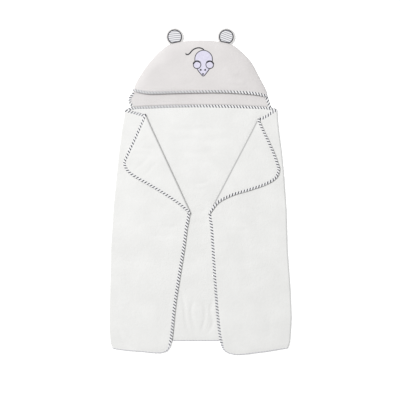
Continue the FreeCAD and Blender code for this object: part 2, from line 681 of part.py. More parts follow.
# the tail is a satin cord in two arcs that run into each other, out of the back and to the left
tailLine = doc.addObject("Sketcher::SketchObject", "TailLine")
tailHalf = size("satinWidth") / 2
tailRoot = size("mouseSpan") / 2 + size("mouseBack") + size("satinWidth") + 1.1 * tailHalf
tailStart = Vector(size("tailStartX"), tailRoot, 0)
tailCrest = Vector(-size("tailCrestX"), size("tailCrestY"), 0)
tailTurn = Vector(-size("tailTurnX"), size("tailTurnY"), 0)
tailEnd = Vector(-size("tailEndX"), size("tailEndY"), 0)
crestArc = Part.Arc(tailStart, tailCrest, tailTurn)
onward = crestArc.tangent(crestArc.LastParameter)[0]
tailLine.addGeometry(crestArc, False)
tailLine.addGeometry(arcOnward(tailTurn, onward, tailEnd), False)
tailLine.Placement = Placement(mouseSpot, Rotation())
doc.recompute()
tail = doc.addObject("Part::Feature", "MouseTail")
tailFace = Part.Face(tailLine.Shape.makeOffset2D(tailHalf, 0, False, False))
tail.Shape = tailFace.extrude(Vector(0, 0, size("satinThick")))
tail.Placement = Placement(Vector(0, 0, topZ), Rotation())
part(tail, "mouse_tail")

# ---------------------------------------------------------------- check and write
doc.recompute()
for thing in doc.Objects:
    if "Invalid" in thing.State or "Error" in thing.State:
        raise RuntimeError("%s did not build: %s" % (thing.Name, thing.State))
for thing in parts:
    shape = thing.Shape
    if shape.isNull() or not shape.isValid() or not shape.Solids:
        raise RuntimeError(thing.Label + " has no valid solid")
os.makedirs("parts", exist_ok=True)
for thing in parts:
    box = thing.Shape.BoundBox
    print(
        "%-28s %d solid(s) %9.0f mm3  x %.1f..%.1f  y %.1f..%.1f  z %.2f..%.2f"
        % (thing.Label, len(thing.Shape.Solids), thing.Shape.Volume,
           box.XMin, box.XMax, box.YMin, box.YMax, box.ZMin, box.ZMax)
    )
    thing.Shape.exportStep("parts/%s.step" % thing.Label)
print("%d sub-parts written" % len(parts))
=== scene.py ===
import math
import bmesh
import bpy
import json
import numpy as np
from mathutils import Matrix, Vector, noise
from mathutils.bvhtree import BVHTree
from mathutils.kdtree import KDTree
from mathutils.geometry import delaunay_2d_cdt


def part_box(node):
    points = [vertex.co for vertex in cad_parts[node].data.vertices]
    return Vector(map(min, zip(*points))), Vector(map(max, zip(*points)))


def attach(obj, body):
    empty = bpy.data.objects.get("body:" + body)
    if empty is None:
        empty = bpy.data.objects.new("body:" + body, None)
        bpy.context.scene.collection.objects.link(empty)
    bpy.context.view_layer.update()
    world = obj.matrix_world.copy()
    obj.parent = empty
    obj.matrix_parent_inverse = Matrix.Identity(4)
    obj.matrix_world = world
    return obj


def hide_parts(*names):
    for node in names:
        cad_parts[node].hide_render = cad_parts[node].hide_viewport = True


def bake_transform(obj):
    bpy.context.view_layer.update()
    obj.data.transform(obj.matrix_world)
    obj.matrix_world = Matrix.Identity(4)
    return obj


# A hooded baby towel of white terry, laid flat with its sides folded in. Every sheet is cut flat,
# filled with a fine mesh, and then laid out round its fold lines. Shapes are worked out in
# millimetres, and only the finished meshes are in metres.

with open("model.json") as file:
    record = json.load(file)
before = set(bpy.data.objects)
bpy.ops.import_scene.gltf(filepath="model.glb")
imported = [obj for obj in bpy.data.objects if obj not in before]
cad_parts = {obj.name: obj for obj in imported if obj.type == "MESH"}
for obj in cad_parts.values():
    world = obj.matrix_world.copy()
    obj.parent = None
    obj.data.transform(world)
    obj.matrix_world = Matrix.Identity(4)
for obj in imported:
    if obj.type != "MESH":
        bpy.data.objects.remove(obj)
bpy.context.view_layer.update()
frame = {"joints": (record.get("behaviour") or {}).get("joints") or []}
bpy.ops.object.select_all(action="DESELECT")
mm = 0.001

cloth = {
    "thick": 3.0,  # terry, from pile to pile
    "pressed": 1.7,  # where the binding holds it
    "gap": 1.0,  # air between two layers
    "cell": 3.6,  # size of the mesh
    "lump": 0.35,  # uneven pile, inwards from both faces
    "lumpSize": 9.0,
    "boundWidth": 5.0,  # pressed under its binding this far in
    "boundReach": 6.0,  # and back to full thickness over this much more
    "unfolded": [[0, 0], [0, 0], [0, 3], [0, 3]],  # the cut edge's own strip of the pattern
}
halfThick = cloth["thick"] / 2
bendRadius = (cloth["thick"] + cloth["gap"]) / 2
bendLength = math.pi * bendRadius
backMid = halfThick


# small tools for curves and weights

def ease(t):
    t = np.clip(t, 0.0, 1.0)
    return t * t * (3 - 2 * t)


def unit(v):
    return v / np.linalg.norm(v)


def bump(value, middle, reach):
    # one smooth hump, 1 in the middle and 0 beyond reach
    return ease(1 - np.abs(value - middle) / reach)


def lengthAlong(line):
    # how far along the line each of its points is
    return np.concatenate([[0], np.cumsum(np.linalg.norm(np.diff(line, axis=0), axis=1))])


def evenly(points, step, closed=False):
    # the same line with its points a step apart
    if closed:
        points = np.vstack([points, points[:1]])
    length = lengthAlong(points)
    count = max(2, int(round(length[-1] / step)) + 1)
    at = np.linspace(0, length[-1], count)
    line = np.column_stack([np.interp(at, length, points[:, k]) for k in range(points.shape[1])])
    return line[:-1] if closed else line


def evenlyCornered(ring, step, sharp=25.0):
    # a closed line resampled between its corners, which stay
    before, after = ring - np.roll(ring, 1, axis=0), np.roll(ring, -1, axis=0) - ring
    turn = np.degrees(np.abs(np.arctan2(
        before[:, 0] * after[:, 1] - before[:, 1] * after[:, 0], (before * after).sum(1)
    )))
    corners = np.where(turn > sharp)[0]
    if len(corners) < 2:
        return evenly(ring, step, closed=True)
    out = []
    for a, b in zip(corners, np.roll(corners, -1)):
        stretch = ring[a:b + 1] if b > a else np.vstack([ring[a:], ring[:b + 1]])
        out.append(evenly(stretch, step)[:-1])
    return np.vstack(out)


def smoothLine(points, step, closed=False):
    # a smooth curve through given points
    p = np.array(points, float)
    if closed:
        p = np.vstack([p[-1], p, p[0], p[1]])
    else:
        p = np.vstack([2 * p[0] - p[1], p, 2 * p[-1] - p[-2]])
    out = []
    for k in range(1, len(p) - 2):
        a, b, c, d = p[k - 1:k + 3]
        spans = [max(np.linalg.norm(v), 1e-6) ** 0.5 for v in (b - a, c - b, d - c)]
        ta, tb, tc, td = np.cumsum([0] + spans)
        t = np.linspace(tb, tc, 16, endpoint=False)[:, None]
        ab = (tb - t) / (tb - ta) * a + (t - ta) / (tb - ta) * b
        bc = (tc - t) / (tc - tb) * b + (t - tb) / (tc - tb) * c
        cd = (td - t) / (td - tc) * c + (t - tc) / (td - tc) * d
        abc = (tc - t) / (tc - ta) * ab + (t - ta) / (tc - ta) * bc
        bcd = (td - t) / (td - tb) * bc + (t - tb) / (td - tb) * cd
        out.append((tc - t) / (tc - tb) * abc + (t - tb) / (tc - tb) * bcd)
    line = np.vstack(out + ([] if closed else [p[-2:-1]]))
    return evenly(line, step, closed)


def distanceTo(q, line, closed=False):
    # distance from each point to a line of straight pieces
    a = line
    b = np.roll(line, -1, axis=0)
    if not closed:
        a, b = a[:-1], b[:-1]
    ab = b - a
    size = np.maximum((ab ** 2).sum(1), 1e-9)
    best = np.full(len(q), 1e9)
    for first in range(0, len(q), 4000):
        part = q[first:first + 4000, None, :]
        t = np.clip(((part - a) * ab).sum(2) / size, 0, 1)
        gap = part - (a + t[..., None] * ab)
        best[first:first + 4000] = np.sqrt((gap ** 2).sum(2)).min(1)
    return best


def insideOf(q, ring):
    inside = np.zeros(len(q), bool)
    x, y = q[:, 0], q[:, 1]
    for (ax, ay), (bx, by) in zip(ring, np.roll(ring, -1, axis=0)):
        crosses = (ay > y) != (by > y)
        if crosses.any():
            inside ^= crosses & (x < (bx - ax) * (y - ay) / (by - ay + 1e-12) + ax)
    return inside


def clipped(ring, value):
    # the part of a closed outline where value(points) is not negative
    f = value(ring)
    out = []
    for k in range(len(ring)):
        n = (k + 1) % len(ring)
        if f[k] >= 0:
            out.append(ring[k])
        if (f[k] >= 0) != (f[n] >= 0):
            t = f[k] / (f[k] - f[n])
            out.append(ring[k] + (ring[n] - ring[k]) * t)
    return np.array(out)


def noiseAt(points, size, seed):
    out = np.empty(len(points))
    for k, (x, y) in enumerate(points[:, :2]):
        out[k] = noise.noise(Vector((x / size, y / size, seed)))
    return out


# materials

def newMaterial(name):
    # the nodes, the links, the shader, and the cut's own coordinates in metres
    material = bpy.data.materials.new(name)
    material.use_nodes = True
    nodes, links = material.node_tree.nodes, material.node_tree.links
    cut = nodes.new("ShaderNodeTexCoord").outputs["UV"]
    return material, nodes, links, nodes["Principled BSDF"], cut


def node(nodes, kind, **values):
    made = nodes.new("ShaderNode" + kind)
    for key, value in values.items():
        if hasattr(made, key):
            setattr(made, key, value)
        else:
            made.inputs[key.replace("_", " ")].default_value = value
    return made


def reckon(nodes, links, operation, *values):
    # one step of arithmetic on numbers and on what other nodes give
    made = node(nodes, "Math", operation=operation)
    for socket, value in zip(made.inputs, values):
        if isinstance(value, bpy.types.NodeSocket):
            links.new(value, socket)
        else:
            socket.default_value = value
    return made.outputs[0]


def texture(nodes, links, where, kind, **values):
    made = node(nodes, "Tex" + kind, **values)
    links.new(where, made.inputs["Vector"])
    return made.outputs["Distance" if kind == "Voronoi" else "Fac"]


def ramp(nodes, links, share, stops):
    made = nodes.new("ShaderNodeValToRGB")
    links.new(share, made.inputs["Fac"])
    made.color_ramp.elements[0].position, made.color_ramp.elements[0].color = stops[0]
    made.color_ramp.elements[1].position, made.color_ramp.elements[1].color = stops[-1]
    for position, colour in stops[1:-1]:
        made.color_ramp.elements.new(position).color = colour
    return made.outputs["Color"]


def raised(nodes, links, height, under=None, **values):
    # bumps that follow height, on top of the bumps under them
    made = node(nodes, "Bump", **values)
    links.new(height, made.inputs["Height"])
    if under is not None:
        links.new(under, made.inputs["Normal"])
    return made.outputs["Normal"]


def faded(nodes, links, colour, tone):
    # the colour turned towards tone where the mesh's fade says so: on the terry this is painted
    # shade in the bends of the folds, on the tape the even wash along the hem
    made = node(nodes, "Mix", data_type="RGBA")
    made.inputs[7].default_value = tone
    links.new(node(nodes, "Attribute", attribute_name="fade").outputs["Fac"], made.inputs[0])
    links.new(colour, made.inputs[6])
    return made.outputs[2]


def dress(links, shader, colour, normal, **values):
    # joins the colour and the bumps to the shader, and sets its plain values
    links.new(colour, shader.inputs["Base Color"])
    links.new(normal, shader.inputs["Normal"])
    for key, value in values.items():
        shader.inputs[key.replace("_", " ")].default_value = value


def grey(value, blue=0.0, red=0.0):
    return (value + red, value, value + blue, 1.0)


terryLook = {
    "loopScale": 520.0,  # loops to the metre
    "tuftScale": 130.0,
    "blotchScale": 16.0,
    "loopDepth": 0.0006,
    "tuftDepth": 0.0010,
    "loopShade": 0.35,  # how much painted shade darkens the gaps between loops
    "foldShadeTone": (0.40, 0.40, 0.40, 1.0),  # painted shade on the bend of a sharp fold
    "roughness": 0.95,
    "sheen": 0.25,
}


def terryMaterial(name, light, deep):
    # short uncut loops in rows with painted shade in the gaps between them, uneven tufts, a faint
    # unevenness of the white, and painted shade on the bends of the folds
    material, nodes, links, shader, cut = newMaterial(name)
    loops = texture(nodes, links, cut, "Voronoi", Scale=terryLook["loopScale"], Randomness=0.75)
    tufts = texture(nodes, links, cut, "Noise", Scale=terryLook["tuftScale"], Detail=3.0)
    blotch = texture(nodes, links, cut, "Noise", Scale=terryLook["blotchScale"], Detail=2.0)
    # painted shade in the gaps between loops, with random blotches of tone
    shade = reckon(nodes, links, "MULTIPLY_ADD", loops, terryLook["loopShade"], blotch)
    colour = ramp(nodes, links, shade, [(0.30, light), (0.85, deep)])
    coarse = raised(nodes, links, tufts, Strength=0.6, Distance=terryLook["tuftDepth"])
    fine = raised(
        nodes, links, loops, coarse, Strength=0.7, Distance=terryLook["loopDepth"], invert=True,
    )
    dress(
        links, shader, faded(nodes, links, colour, terryLook["foldShadeTone"]), fine,
        Roughness=terryLook["roughness"], Sheen_Weight=terryLook["sheen"], Sheen_Roughness=0.6,
        Specular_IOR_Level=0.15,
    )
    return material


bindingLook = {
    "pitch": 0.0090,  # one dark and one white stripe, along the tape
    "lean": 0.6,
    "dark": (0.030, 0.031, 0.042, 1.0),
    "white": (0.80, 0.80, 0.81, 1.0),
    "wash": (0.66, 0.655, 0.70, 1.0),
    "wobble": 0.0012,  # how far a stripe strays
    "stitchPitch": 0.0030,
    "stitchLine": 0.0014,  # from the tape's inner edge
    "stitchHalf": 0.0005,
    "weaveScale": 1400.0,
}


def bindingMaterial(name):
    # slanted stripes of a bias tape, a row of stitches near its inner edge, and a plain weave
    look = bindingLook
    material, nodes, links, shader, cut = newMaterial(name)
    split = node(nodes, "SeparateXYZ")
    links.new(cut, split.inputs[0])
    along, across = split.outputs["X"], split.outputs["Y"]
    stray = texture(nodes, links, cut, "Noise", Scale=90.0, Detail=1.0)
    place = reckon(nodes, links, "MULTIPLY_ADD", across, look["lean"], along)
    place = reckon(nodes, links, "MULTIPLY_ADD", stray, look["wobble"], place)
    phase = reckon(nodes, links, "FRACT", reckon(nodes, links, "DIVIDE", place, look["pitch"]))
    dark, white = look["dark"], look["white"]
    stops = [(0.0, white), (0.06, dark), (0.36, dark), (0.44, white), (1.0, white)]
    stripes = ramp(nodes, links, phase, stops)
    dash = reckon(nodes, links, "PINGPONG", along, look["stitchPitch"] / 2)
    off = reckon(nodes, links, "SUBTRACT", across, look["stitchLine"])
    off = reckon(nodes, links, "ABSOLUTE", off)
    near = reckon(nodes, links, "LESS_THAN", off, look["stitchHalf"])
    thread = reckon(nodes, links, "MULTIPLY", near, dash)
    stitch = raised(nodes, links, thread, Strength=0.8, Distance=0.4, invert=True)
    weave = texture(nodes, links, cut, "Noise", Scale=look["weaveScale"], Detail=1.0)
    dress(
        links, shader, faded(nodes, links, stripes, look["wash"]),
        raised(nodes, links, weave, stitch, Strength=0.35, Distance=0.0003),
        Roughness=0.8, Sheen_Weight=0.1, Specular_IOR_Level=0.25,
    )
    return material


# the hood and the ears take darker copies of the body's terry, which paint shade on them
bodyTerry = terryMaterial("bodyTerry", grey(0.80, -0.012, 0.0), grey(0.74, -0.012, 0.0))
hoodTerry = terryMaterial("hoodTerry", grey(0.675, -0.004, 0.022), grey(0.625, -0.004, 0.022))
earTerry = terryMaterial("earTerry", grey(0.73, -0.004, 0.01), grey(0.67, -0.004, 0.01))
stripedTape = bindingMaterial("stripedTape")
print("materials made")


# the body's flat cut, as it lies when both sides are opened

bodyCut = {
    "neck": [(0, 5), (-150, 5), (-205, 5)],
    "left": [
        (-240, -3), (-295, -12), (-367, -25), (-420, -35), (-443, -42), (-456, -62), (-460, -90),
        (-458, -139), (-456, -205), (-458, -248), (-461, -274), (-462, -296), (-460, -325),
        (-460, -375), (-457, -468), (-455, -560), (-457, -640), (-456, -668), (-448, -691),
        (-428, -702), (-365, -706), (-293, -710), (-240, -707),
    ],
    "right": [
        (228, 0), (262, -17), (288, -25), (325, -28), (363, -31), (418, -39), (442, -46),
        (459, -66), (463, -100), (457, -146), (446, -205), (446, -246), (456, -272), (465, -294),
        (465, -325), (467, -363), (474, -481), (479, -599), (478, -660), (469, -690),
        (440, -706), (359, -709), (287, -709), (240, -707),
    ],
    "hem": [(-150, -706), (0, -706), (150, -706)],
}


def bodyOutline():
    # counterclockwise from the middle of the neck
    ring = [*bodyCut["neck"], *bodyCut["left"], *bodyCut["hem"]]
    ring += [*reversed(bodyCut["right"]), (205, 5), (150, 5)]
    return smoothLine(ring, 3.0, closed=True)


outline = bodyOutline()


def hinge(name):
    joint = next(j for j in frame["joints"] if j["name"] == name)
    return np.array(joint["pos_m"][:2]) / mm, unit(np.array(joint["axis"][:2]))


class FoldLine:
    # a straight fold in the flat cut; beyond() grows on the side that turns over
    def __init__(self, point, along, outward):
        self.point, self.along, self.outward = point, along, outward

    def beyond(self, q):
        return (q - self.point) @ self.outward

    def flip(self, q):
        return q - 2 * self.beyond(q)[:, None] * self.outward


def sideFold(side):
    point, along = hinge(side + "_flap_fold")
    if along[1] > 0:
        along = -along
    outward = np.array([-along[1], along[0]])
    if outward[0] * point[0] < 0:
        outward = -outward
    return FoldLine(point, along, outward)


def creaseFold(side, fold):
    point, along = hinge(side + "_lapel_fold")
    ends = fold.flip(np.array([point, point + along * (100 if along[1] < 0 else -100)]))
    flatAlong = unit(ends[1] - ends[0])
    outward = np.array([-flatAlong[1], flatAlong[0]])
    if outward[0] * ends[0][0] < 0:
        outward = -outward
    return FoldLine(ends[0], flatAlong, outward)


folds = {side: sideFold(side) for side in ("left", "right")}
creases = {side: creaseFold(side, folds[side]) for side in ("left", "right")}


# where a point of the flat cut comes to lie; rise is its height above the sheet's middle

def bendRound(q, rise, fold, inward):
    # a half turn round the fold; inward is 1 if the sheet's upper side is inside the bend
    d = fold.beyond(q)
    turn = np.clip((d + bendLength) / bendRadius, 0, math.pi)
    radius = bendRadius - inward * rise
    foot = q - d[:, None] * fold.outward
    out = foot + (radius * np.sin(turn))[:, None] * fold.outward
    return out, radius * np.cos(turn)


def placeBack(q, rise):
    return np.column_stack([q, backMid + rise])


def turnFlap(fold, q, height):
    # height is the flat cut's own height, with 0 under the sheet
    return np.column_stack([fold.flip(q), 2 * (backMid + bendRadius) - height])


def placeFlap(side):
    fold = folds[side]

    def place(q, rise):
        d = fold.beyond(q)
        out = turnFlap(fold, q, backMid + rise)
        bent = d < 0
        xy, lift = bendRound(q[bent], rise[bent], fold, 1)
        out[bent] = np.column_stack([xy, backMid + bendRadius - lift])
        return out

    return place


def placeLapel(side):
    fold, crease = folds[side], creases[side]

    def place(q, rise):
        e = crease.beyond(q)
        flat = crease.flip(q)
        height = backMid - 2 * bendRadius - rise
        bent = e < 0
        xy, lift = bendRound(q[bent], rise[bent], crease, -1)
        flat[bent] = xy
        height = np.where(bent, 0, height)
        height[bent] = backMid - bendRadius + lift
        return turnFlap(fold, flat, height)

    return place


# how the laid sheets settle: the sides bow a little, the hem is rucked up between the flaps, and
# shallow creases run over the parts that lie open

settle = {
    "bowLeft": [(20, -7), (-20, -7), (-60, -2.5), (-130, 2), (-200, 5), (-290, 8), (-400, 8),
                (-500, 4), (-600, 0), (-650, -3), (-690, -9), (-710, -16), (-726, -27)],
    "bowRight": [(20, -4), (-20, -3.5), (-60, -3), (-130, 2), (-200, 4.5), (-300, 5.5), (-420, 1.5),
                 (-540, 3), (-620, 1), (-655, -3), (-690, -8), (-706, -14), (-722, -25)],
    "bowReach": 90.0,
    "neckArch": 7.0,
    "archMiddle": 0.72, "archHalf": 205.0, "archReach": 70.0, "archLimits": (-3, 6),
    "hemRuck": 19.0, "ruckMiddle": -10.0, "ruckHalf": 76.0, "ruckEase": 50.0,
    "ruckTop": 480.0, "ruckDepth": 226.0,
    "swell": 0.4, "swellSize": 85.0, "swellSeed": 1.7,
    "creaseShare": 0.8,  # of the depths listed below
    "deepest": 1.5,
}


def settled(p):
    # plan shifts that all the layers share
    x, y = p[:, 0].copy(), p[:, 1].copy()
    for side, sign, key in (("left", -1, "bowLeft"), ("right", 1, "bowRight")):
        table = np.array(settle[key][::-1], float)
        bow = np.interp(y, table[:, 0], table[:, 1])
        fold = folds[side]
        d = fold.beyond(p[:, :2])
        x += sign * bow * ease((d + settle["bowReach"]) / settle["bowReach"])
    arch = settle["neckArch"] * (settle["archMiddle"] - (x / settle["archHalf"]) ** 2)
    y = y + np.clip(arch, *settle["archLimits"]) * ease(1 - np.abs(p[:, 1]) / settle["archReach"])
    return np.column_stack([x, y, p[:, 2:]])


def ruckHem(p):
    x, y = p[:, 0], p[:, 1]
    outside = np.abs(x - settle["ruckMiddle"]) - settle["ruckHalf"]
    lift = settle["hemRuck"] * ease(1 - outside / settle["ruckEase"])
    lift *= ease((-y - settle["ruckTop"]) / settle["ruckDepth"])
    return np.column_stack([x, y + lift, p[:, 2:]])


def ridge(p, line, rise, width, fade=0.35):
    # a soft crease along a short line, dying out at its ends
    path = smoothLine(line, 4.0)
    near = distanceTo(p[:, :2], path)
    ends = np.minimum(
        np.linalg.norm(p[:, :2] - path[0], axis=1), np.linalg.norm(p[:, :2] - path[-1], axis=1)
    )
    length = np.linalg.norm(np.diff(path, axis=0), axis=1).sum()
    return rise * np.exp(-(near / width) ** 2) * ease(ends / (fade * length) + 0.15)


layerCreases = {
    "back": [
        ([(-105, -58), (-40, -64), (30, -60), (95, -66)], 1.5, 9),
        ([(-110, -100), (-50, -92), (20, -98), (90, -90)], 1.4, 10),
        ([(-70, -128), (-10, -134), (60, -126)], 1.3, 9),
        ([(-60, -165), (0, -158), (50, -168)], 0.9, 10),
        ([(-26, -216), (-4, -223), (14, -221), (30, -212)], 1.2, 5),
        ([(-24, -238), (0, -243), (20, -239)], 0.9, 6),
        ([(-30, -300), (0, -306), (24, -300)], 1.0, 8),
        ([(-34, -345), (-4, -338), (26, -346)], 0.9, 8),
        ([(-58, -540), (-48, -590), (-44, -640), (-34, -684)], 2.2, 5),
        ([(-20, -560), (-27, -620), (-12, -684)], 1.8, 6),
        ([(8, -575), (14, -620), (2, -684)], 2.0, 5),
        ([(40, -560), (30, -610), (36, -650), (22, -686)], 2.2, 6),
    ],
    "leftFlap": [
        ([(-120, -345), (-90, -352), (-62, -345)], 1.2, 7),
        ([(-150, -370), (-110, -378), (-70, -372)], 0.9, 8),
        ([(-245, -640), (-238, -680), (-205, -706), (-170, -712)], 1.3, 6),
        ([(-130, -560), (-120, -600), (-126, -640)], 0.8, 9),
    ],
    "rightFlap": [
        ([(70, -352), (110, -362), (150, -356)], 1.2, 7),
        ([(72, -640), (84, -676), (112, -702), (140, -712)], 1.3, 6),
        ([(190, -600), (205, -640), (200, -690)], 0.8, 9),
        ([(150, -480), (190, -470), (230, -478)], 0.6, 9),
    ],
    "leftLapel": [
        ([(-200, -108), (-172, -118), (-132, -122)], 1.1, 5.5),
        ([(-206, -140), (-176, -135), (-134, -142)], 1.0, 5.5),
        ([(-196, -186), (-174, -168), (-148, -142)], 1.1, 5),
        ([(-168, -204), (-150, -184), (-126, -156)], 0.9, 5),
        ([(-180, -94), (-150, -92), (-110, -102)], 0.8, 7),
    ],
    "rightLapel": [
        ([(200, -140), (180, -150), (150, -150)], 0.7, 8),
        ([(120, -190), (150, -186), (180, -192)], 0.6, 9),
    ],
}


def swell(p):
    # the towel doesn't lie quite flat: every layer rises and falls together
    broad = noiseAt(p, settle["swellSize"], settle["swellSeed"]) * 0.5 + 0.5
    return np.clip(broad, 0, 1) * settle["swell"]


def creaseSpan(side):
    # the lapel's crease in the laid towel, from its upper to its lower end
    point, along = hinge(side + "_lapel_fold")
    along = -along if along[1] > 0 else along
    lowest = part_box(side + "_lapel_crease_binding")[0].y / mm
    return np.array([point, point + along * (lowest - point[1]) / along[1]])


creaseSpans = {side: creaseSpan(side) for side in ("left", "right")}


def relief(p, name):
    # how far a layer rises, and how deep its creases are; nothing moves at a fold
    sides = [folds[s].beyond(p[:, :2]) for s in ("left", "right")]
    still = ease((-np.maximum(*sides) - 6) / 30)
    for side in ("left", "right"):
        still = still * ease((distanceTo(p[:, :2], creaseSpans[side]) - 5) / 16)
    dip = np.zeros(len(p))
    for line, depth, width in layerCreases[name]:
        dip += ridge(p, line, depth, width)
    return swell(p) * still, np.clip(dip * settle["creaseShare"], 0, settle["deepest"]) * still


def lay(place, name):
    # flat cut to laid towel, with the shared shifts and the layer's own relief
    def laid(q, rise):
        p = place(q, rise)
        lift, dip = relief(p, name)
        p = settled(p)
        seen = np.clip(rise * (-1 if "Flap" in name else 1) / halfThick, 0, 1)
        p[:, 2] += lift - dip * seen
        return ruckHem(p) if name == "back" else p

    return laid


# meshes

def makeObject(name, points, faces, uvs, material, fade=None):
    mesh = bpy.data.meshes.new(name)
    mesh.from_pydata((points * mm).tolist(), [], faces)
    layer = mesh.uv_layers.new(name="cut")
    flat = np.concatenate([np.asarray(u, float).reshape(-1, 2) for u in uvs]) * mm
    layer.data.foreach_set("uv", flat.astype(np.float32).ravel())
    if fade is not None:
        attribute = mesh.attributes.new("fade", "FLOAT", "POINT")
        attribute.data.foreach_set("value", np.asarray(fade, np.float32))
    mesh.materials.append(material)
    made = bpy.data.objects.new(name, mesh)
    bpy.context.scene.collection.objects.link(made)
    work = bmesh.new()
    work.from_mesh(mesh)
    bmesh.ops.recalc_face_normals(work, faces=work.faces)
    work.to_mesh(mesh)
    work.free()
    mesh.shade_smooth()
    return made


def bendRows(fold, ring):
    # closely spaced rows of points along a fold's bend
    t = (ring - fold.point) @ fold.along
    along = np.arange(t.min(), t.max(), 2.6)
    rows = [
        fold.point + along[:, None] * fold.along + d * fold.outward
        for d in [*(-bendLength * np.array([0.86, 0.72, 0.58, 0.44, 0.30, 0.15])), 0.0, 1.4, 3.2]
    ]
    return np.vstack(rows)


def fill(ring, cell, extra=None):
    # triangles inside a closed outline; the outline's points come first
    low, high = ring.min(0), ring.max(0)
    rows = np.arange(low[1] + cell / 2, high[1], cell * 0.87)
    grid = []
    for k, y in enumerate(rows):
        x = np.arange(low[0] + cell * (0.25 + 0.5 * (k % 2)), high[0], cell)
        grid.append(np.column_stack([x, np.full(len(x), y)]))
    grid = np.vstack(grid)
    grid = grid[insideOf(grid, ring)]
    grid = grid[distanceTo(grid, ring, closed=True) > cell * 0.55]
    if extra is not None:
        extra = extra[insideOf(extra, ring)]
        extra = extra[distanceTo(extra, ring, closed=True) > 0.7]
        spread = KDTree(len(extra))
        for k, (x, y) in enumerate(extra):
            spread.insert((x, y, 0), k)
        spread.balance()
        apart = [spread.find((x, y, 0))[2] > 2.0 for x, y in grid]
        grid = np.vstack([grid[apart], extra])
    points = np.vstack([ring, grid])
    count = len(ring)
    edges = [(k, (k + 1) % count) for k in range(count)]
    made = delaunay_2d_cdt([Vector(p) for p in points.tolist()], edges, [], 1, 1e-5)
    flat = np.array([tuple(v) for v in made[0]])
    return flat, [tuple(f) for f in made[2]]


def boundaryLoop(faces):
    seen = {}
    for face in faces:
        for a, b in zip(face, face[1:] + face[:1]):
            seen[(a, b)] = True
    return [(a, b) for a, b in seen if (b, a) not in seen]


def closedFaces(flat, faces):
    # an upper and a lower face joined round the edge, and where each lies in the flat cut
    n = len(flat)
    joined = [tuple(f) for f in faces] + [tuple(n + i for i in reversed(f)) for f in faces]
    uvs = [flat[list(f)] for f in faces] + [flat[list(reversed(f))] for f in faces]
    for a, b in boundaryLoop(faces):
        joined.append((b, a, n + a, n + b))
        uvs.append(flat[[b, a, a, b]] + np.array(cloth["unfolded"]))
    return joined, uvs


def lumps(flat, seed):
    return np.clip(noiseAt(flat, cloth["lumpSize"], seed) * 0.5 + 0.5, 0, 1) * cloth["lump"]


def bound(inset):
    # 0 where the binding presses the cloth, 1 where it is at its full thickness
    return ease((inset - cloth["boundWidth"]) / cloth["boundReach"])


def clothSheet(
    name, ring, place, material, seed, boundEdge=None, bend=None, pressAt=None, shadeAt=None,
):
    # a closed sheet: an upper and a lower face joined round the edge
    size = cloth["cell"]
    rows = None if bend is None else bendRows(bend, ring)
    flat, faces = fill(evenlyCornered(ring, size), size, rows)
    half = np.full(len(flat), halfThick)
    if boundEdge is not None:
        inset = distanceTo(flat, boundEdge, closed=True)
        half = cloth["pressed"] / 2 + (halfThick - cloth["pressed"] / 2) * bound(inset)
    if pressAt is not None:
        half = half * pressAt(flat)
    top = place(flat, half - lumps(flat, seed))
    low = place(flat, lumps(flat, seed + 5) - half)
    shade = np.zeros(len(flat)) if shadeAt is None else shadeAt(flat)
    joined, uvs = closedFaces(flat, faces)
    return makeObject(name, np.vstack([top, low]), joined, uvs, material, np.tile(shade, 2))


bindingSection = {
    "lift": 0.35,  # tape above the pressed cloth
    "width": 9.0,
    "hem": 2.6,
    "lapel": 7.4,
    "neck": 8.4,
}


def tapeSection(width):
    # (inset from the edge, height) round the tape, from its upper inner edge over the rim
    h = cloth["pressed"] / 2 + bindingSection["lift"]
    return np.array([
        (width, h - 0.35), (width - 0.6, h + 0.1), (width * 0.7, h + 0.25), (width * 0.4, h + 0.2),
        (1.6, h), (0.5, h * 0.7), (0.0, 0.0), (0.5, -h * 0.7), (1.6, -h), (width * 0.4, -h - 0.1),
        (width * 0.7, -h - 0.1), (width - 0.6, -h), (width, -h + 0.4),
    ])


def tape(name, path, ribs, lean, place, width=None, fade=None, cutOtherWay=False):
    # a folded tape along a line of the flat cut; slanted ribs let its ends meet a fold
    n = len(path)
    width = np.full(n, bindingSection["width"]) if width is None else width
    fade = np.zeros(n) if fade is None else fade
    along = lengthAlong(path)
    sections = [tapeSection(w) for w in width]
    m = len(sections[0])
    q = np.vstack([path[k] + sections[k][:, :1] * ribs[k] for k in range(n)])
    rise = np.concatenate([section[:, 1] for section in sections])
    points = place(q, rise)
    across = [lengthAlong(section) for section in sections]
    faces, uvs = [], []
    for k in range(n - 1):
        for i in range(m):
            j = (i + 1) % m
            corners = [(k, i), (k + 1, i), (k + 1, j), (k, j)]
            faces.append(tuple(a * m + b for a, b in corners))
            flat = []
            for a, b in corners:
                girth = across[a][b] if j or b else across[a][-1] + width[a]
                flat.append((along[a] + lean[a] * sections[a][b, 0], girth))
            uvs.append(np.array(flat))
    for k in (0, n - 1):
        faces.append(tuple(k * m + i for i in range(m)))
        uvs.append(np.column_stack([np.full(m, along[k]), across[k]]))
    if cutOtherWay:
        uvs = [uv * [-1, 1] for uv in uvs]
    return makeObject(name, points, faces, uvs, stripedTape, np.repeat(fade, m))


def cutRuns(ring, value):
    # the stretches of a closed line where value is positive, with their exact ends
    f = value(ring)
    n = len(ring)
    starts = [k for k in range(n) if f[k] <= 0 < f[(k + 1) % n]]
    runs = []
    for k in starts:
        t = f[k] / (f[k] - f[(k + 1) % n])
        line = [ring[k] + (ring[(k + 1) % n] - ring[k]) * t]
        j = (k + 1) % n
        while f[j] > 0:
            line.append(ring[j])
            j = (j + 1) % n
        i = (j - 1) % n
        t = f[i] / (f[i] - f[j])
        line.append(ring[i] + (ring[j] - ring[i]) * t)
        runs.append(np.array(line))
    return runs


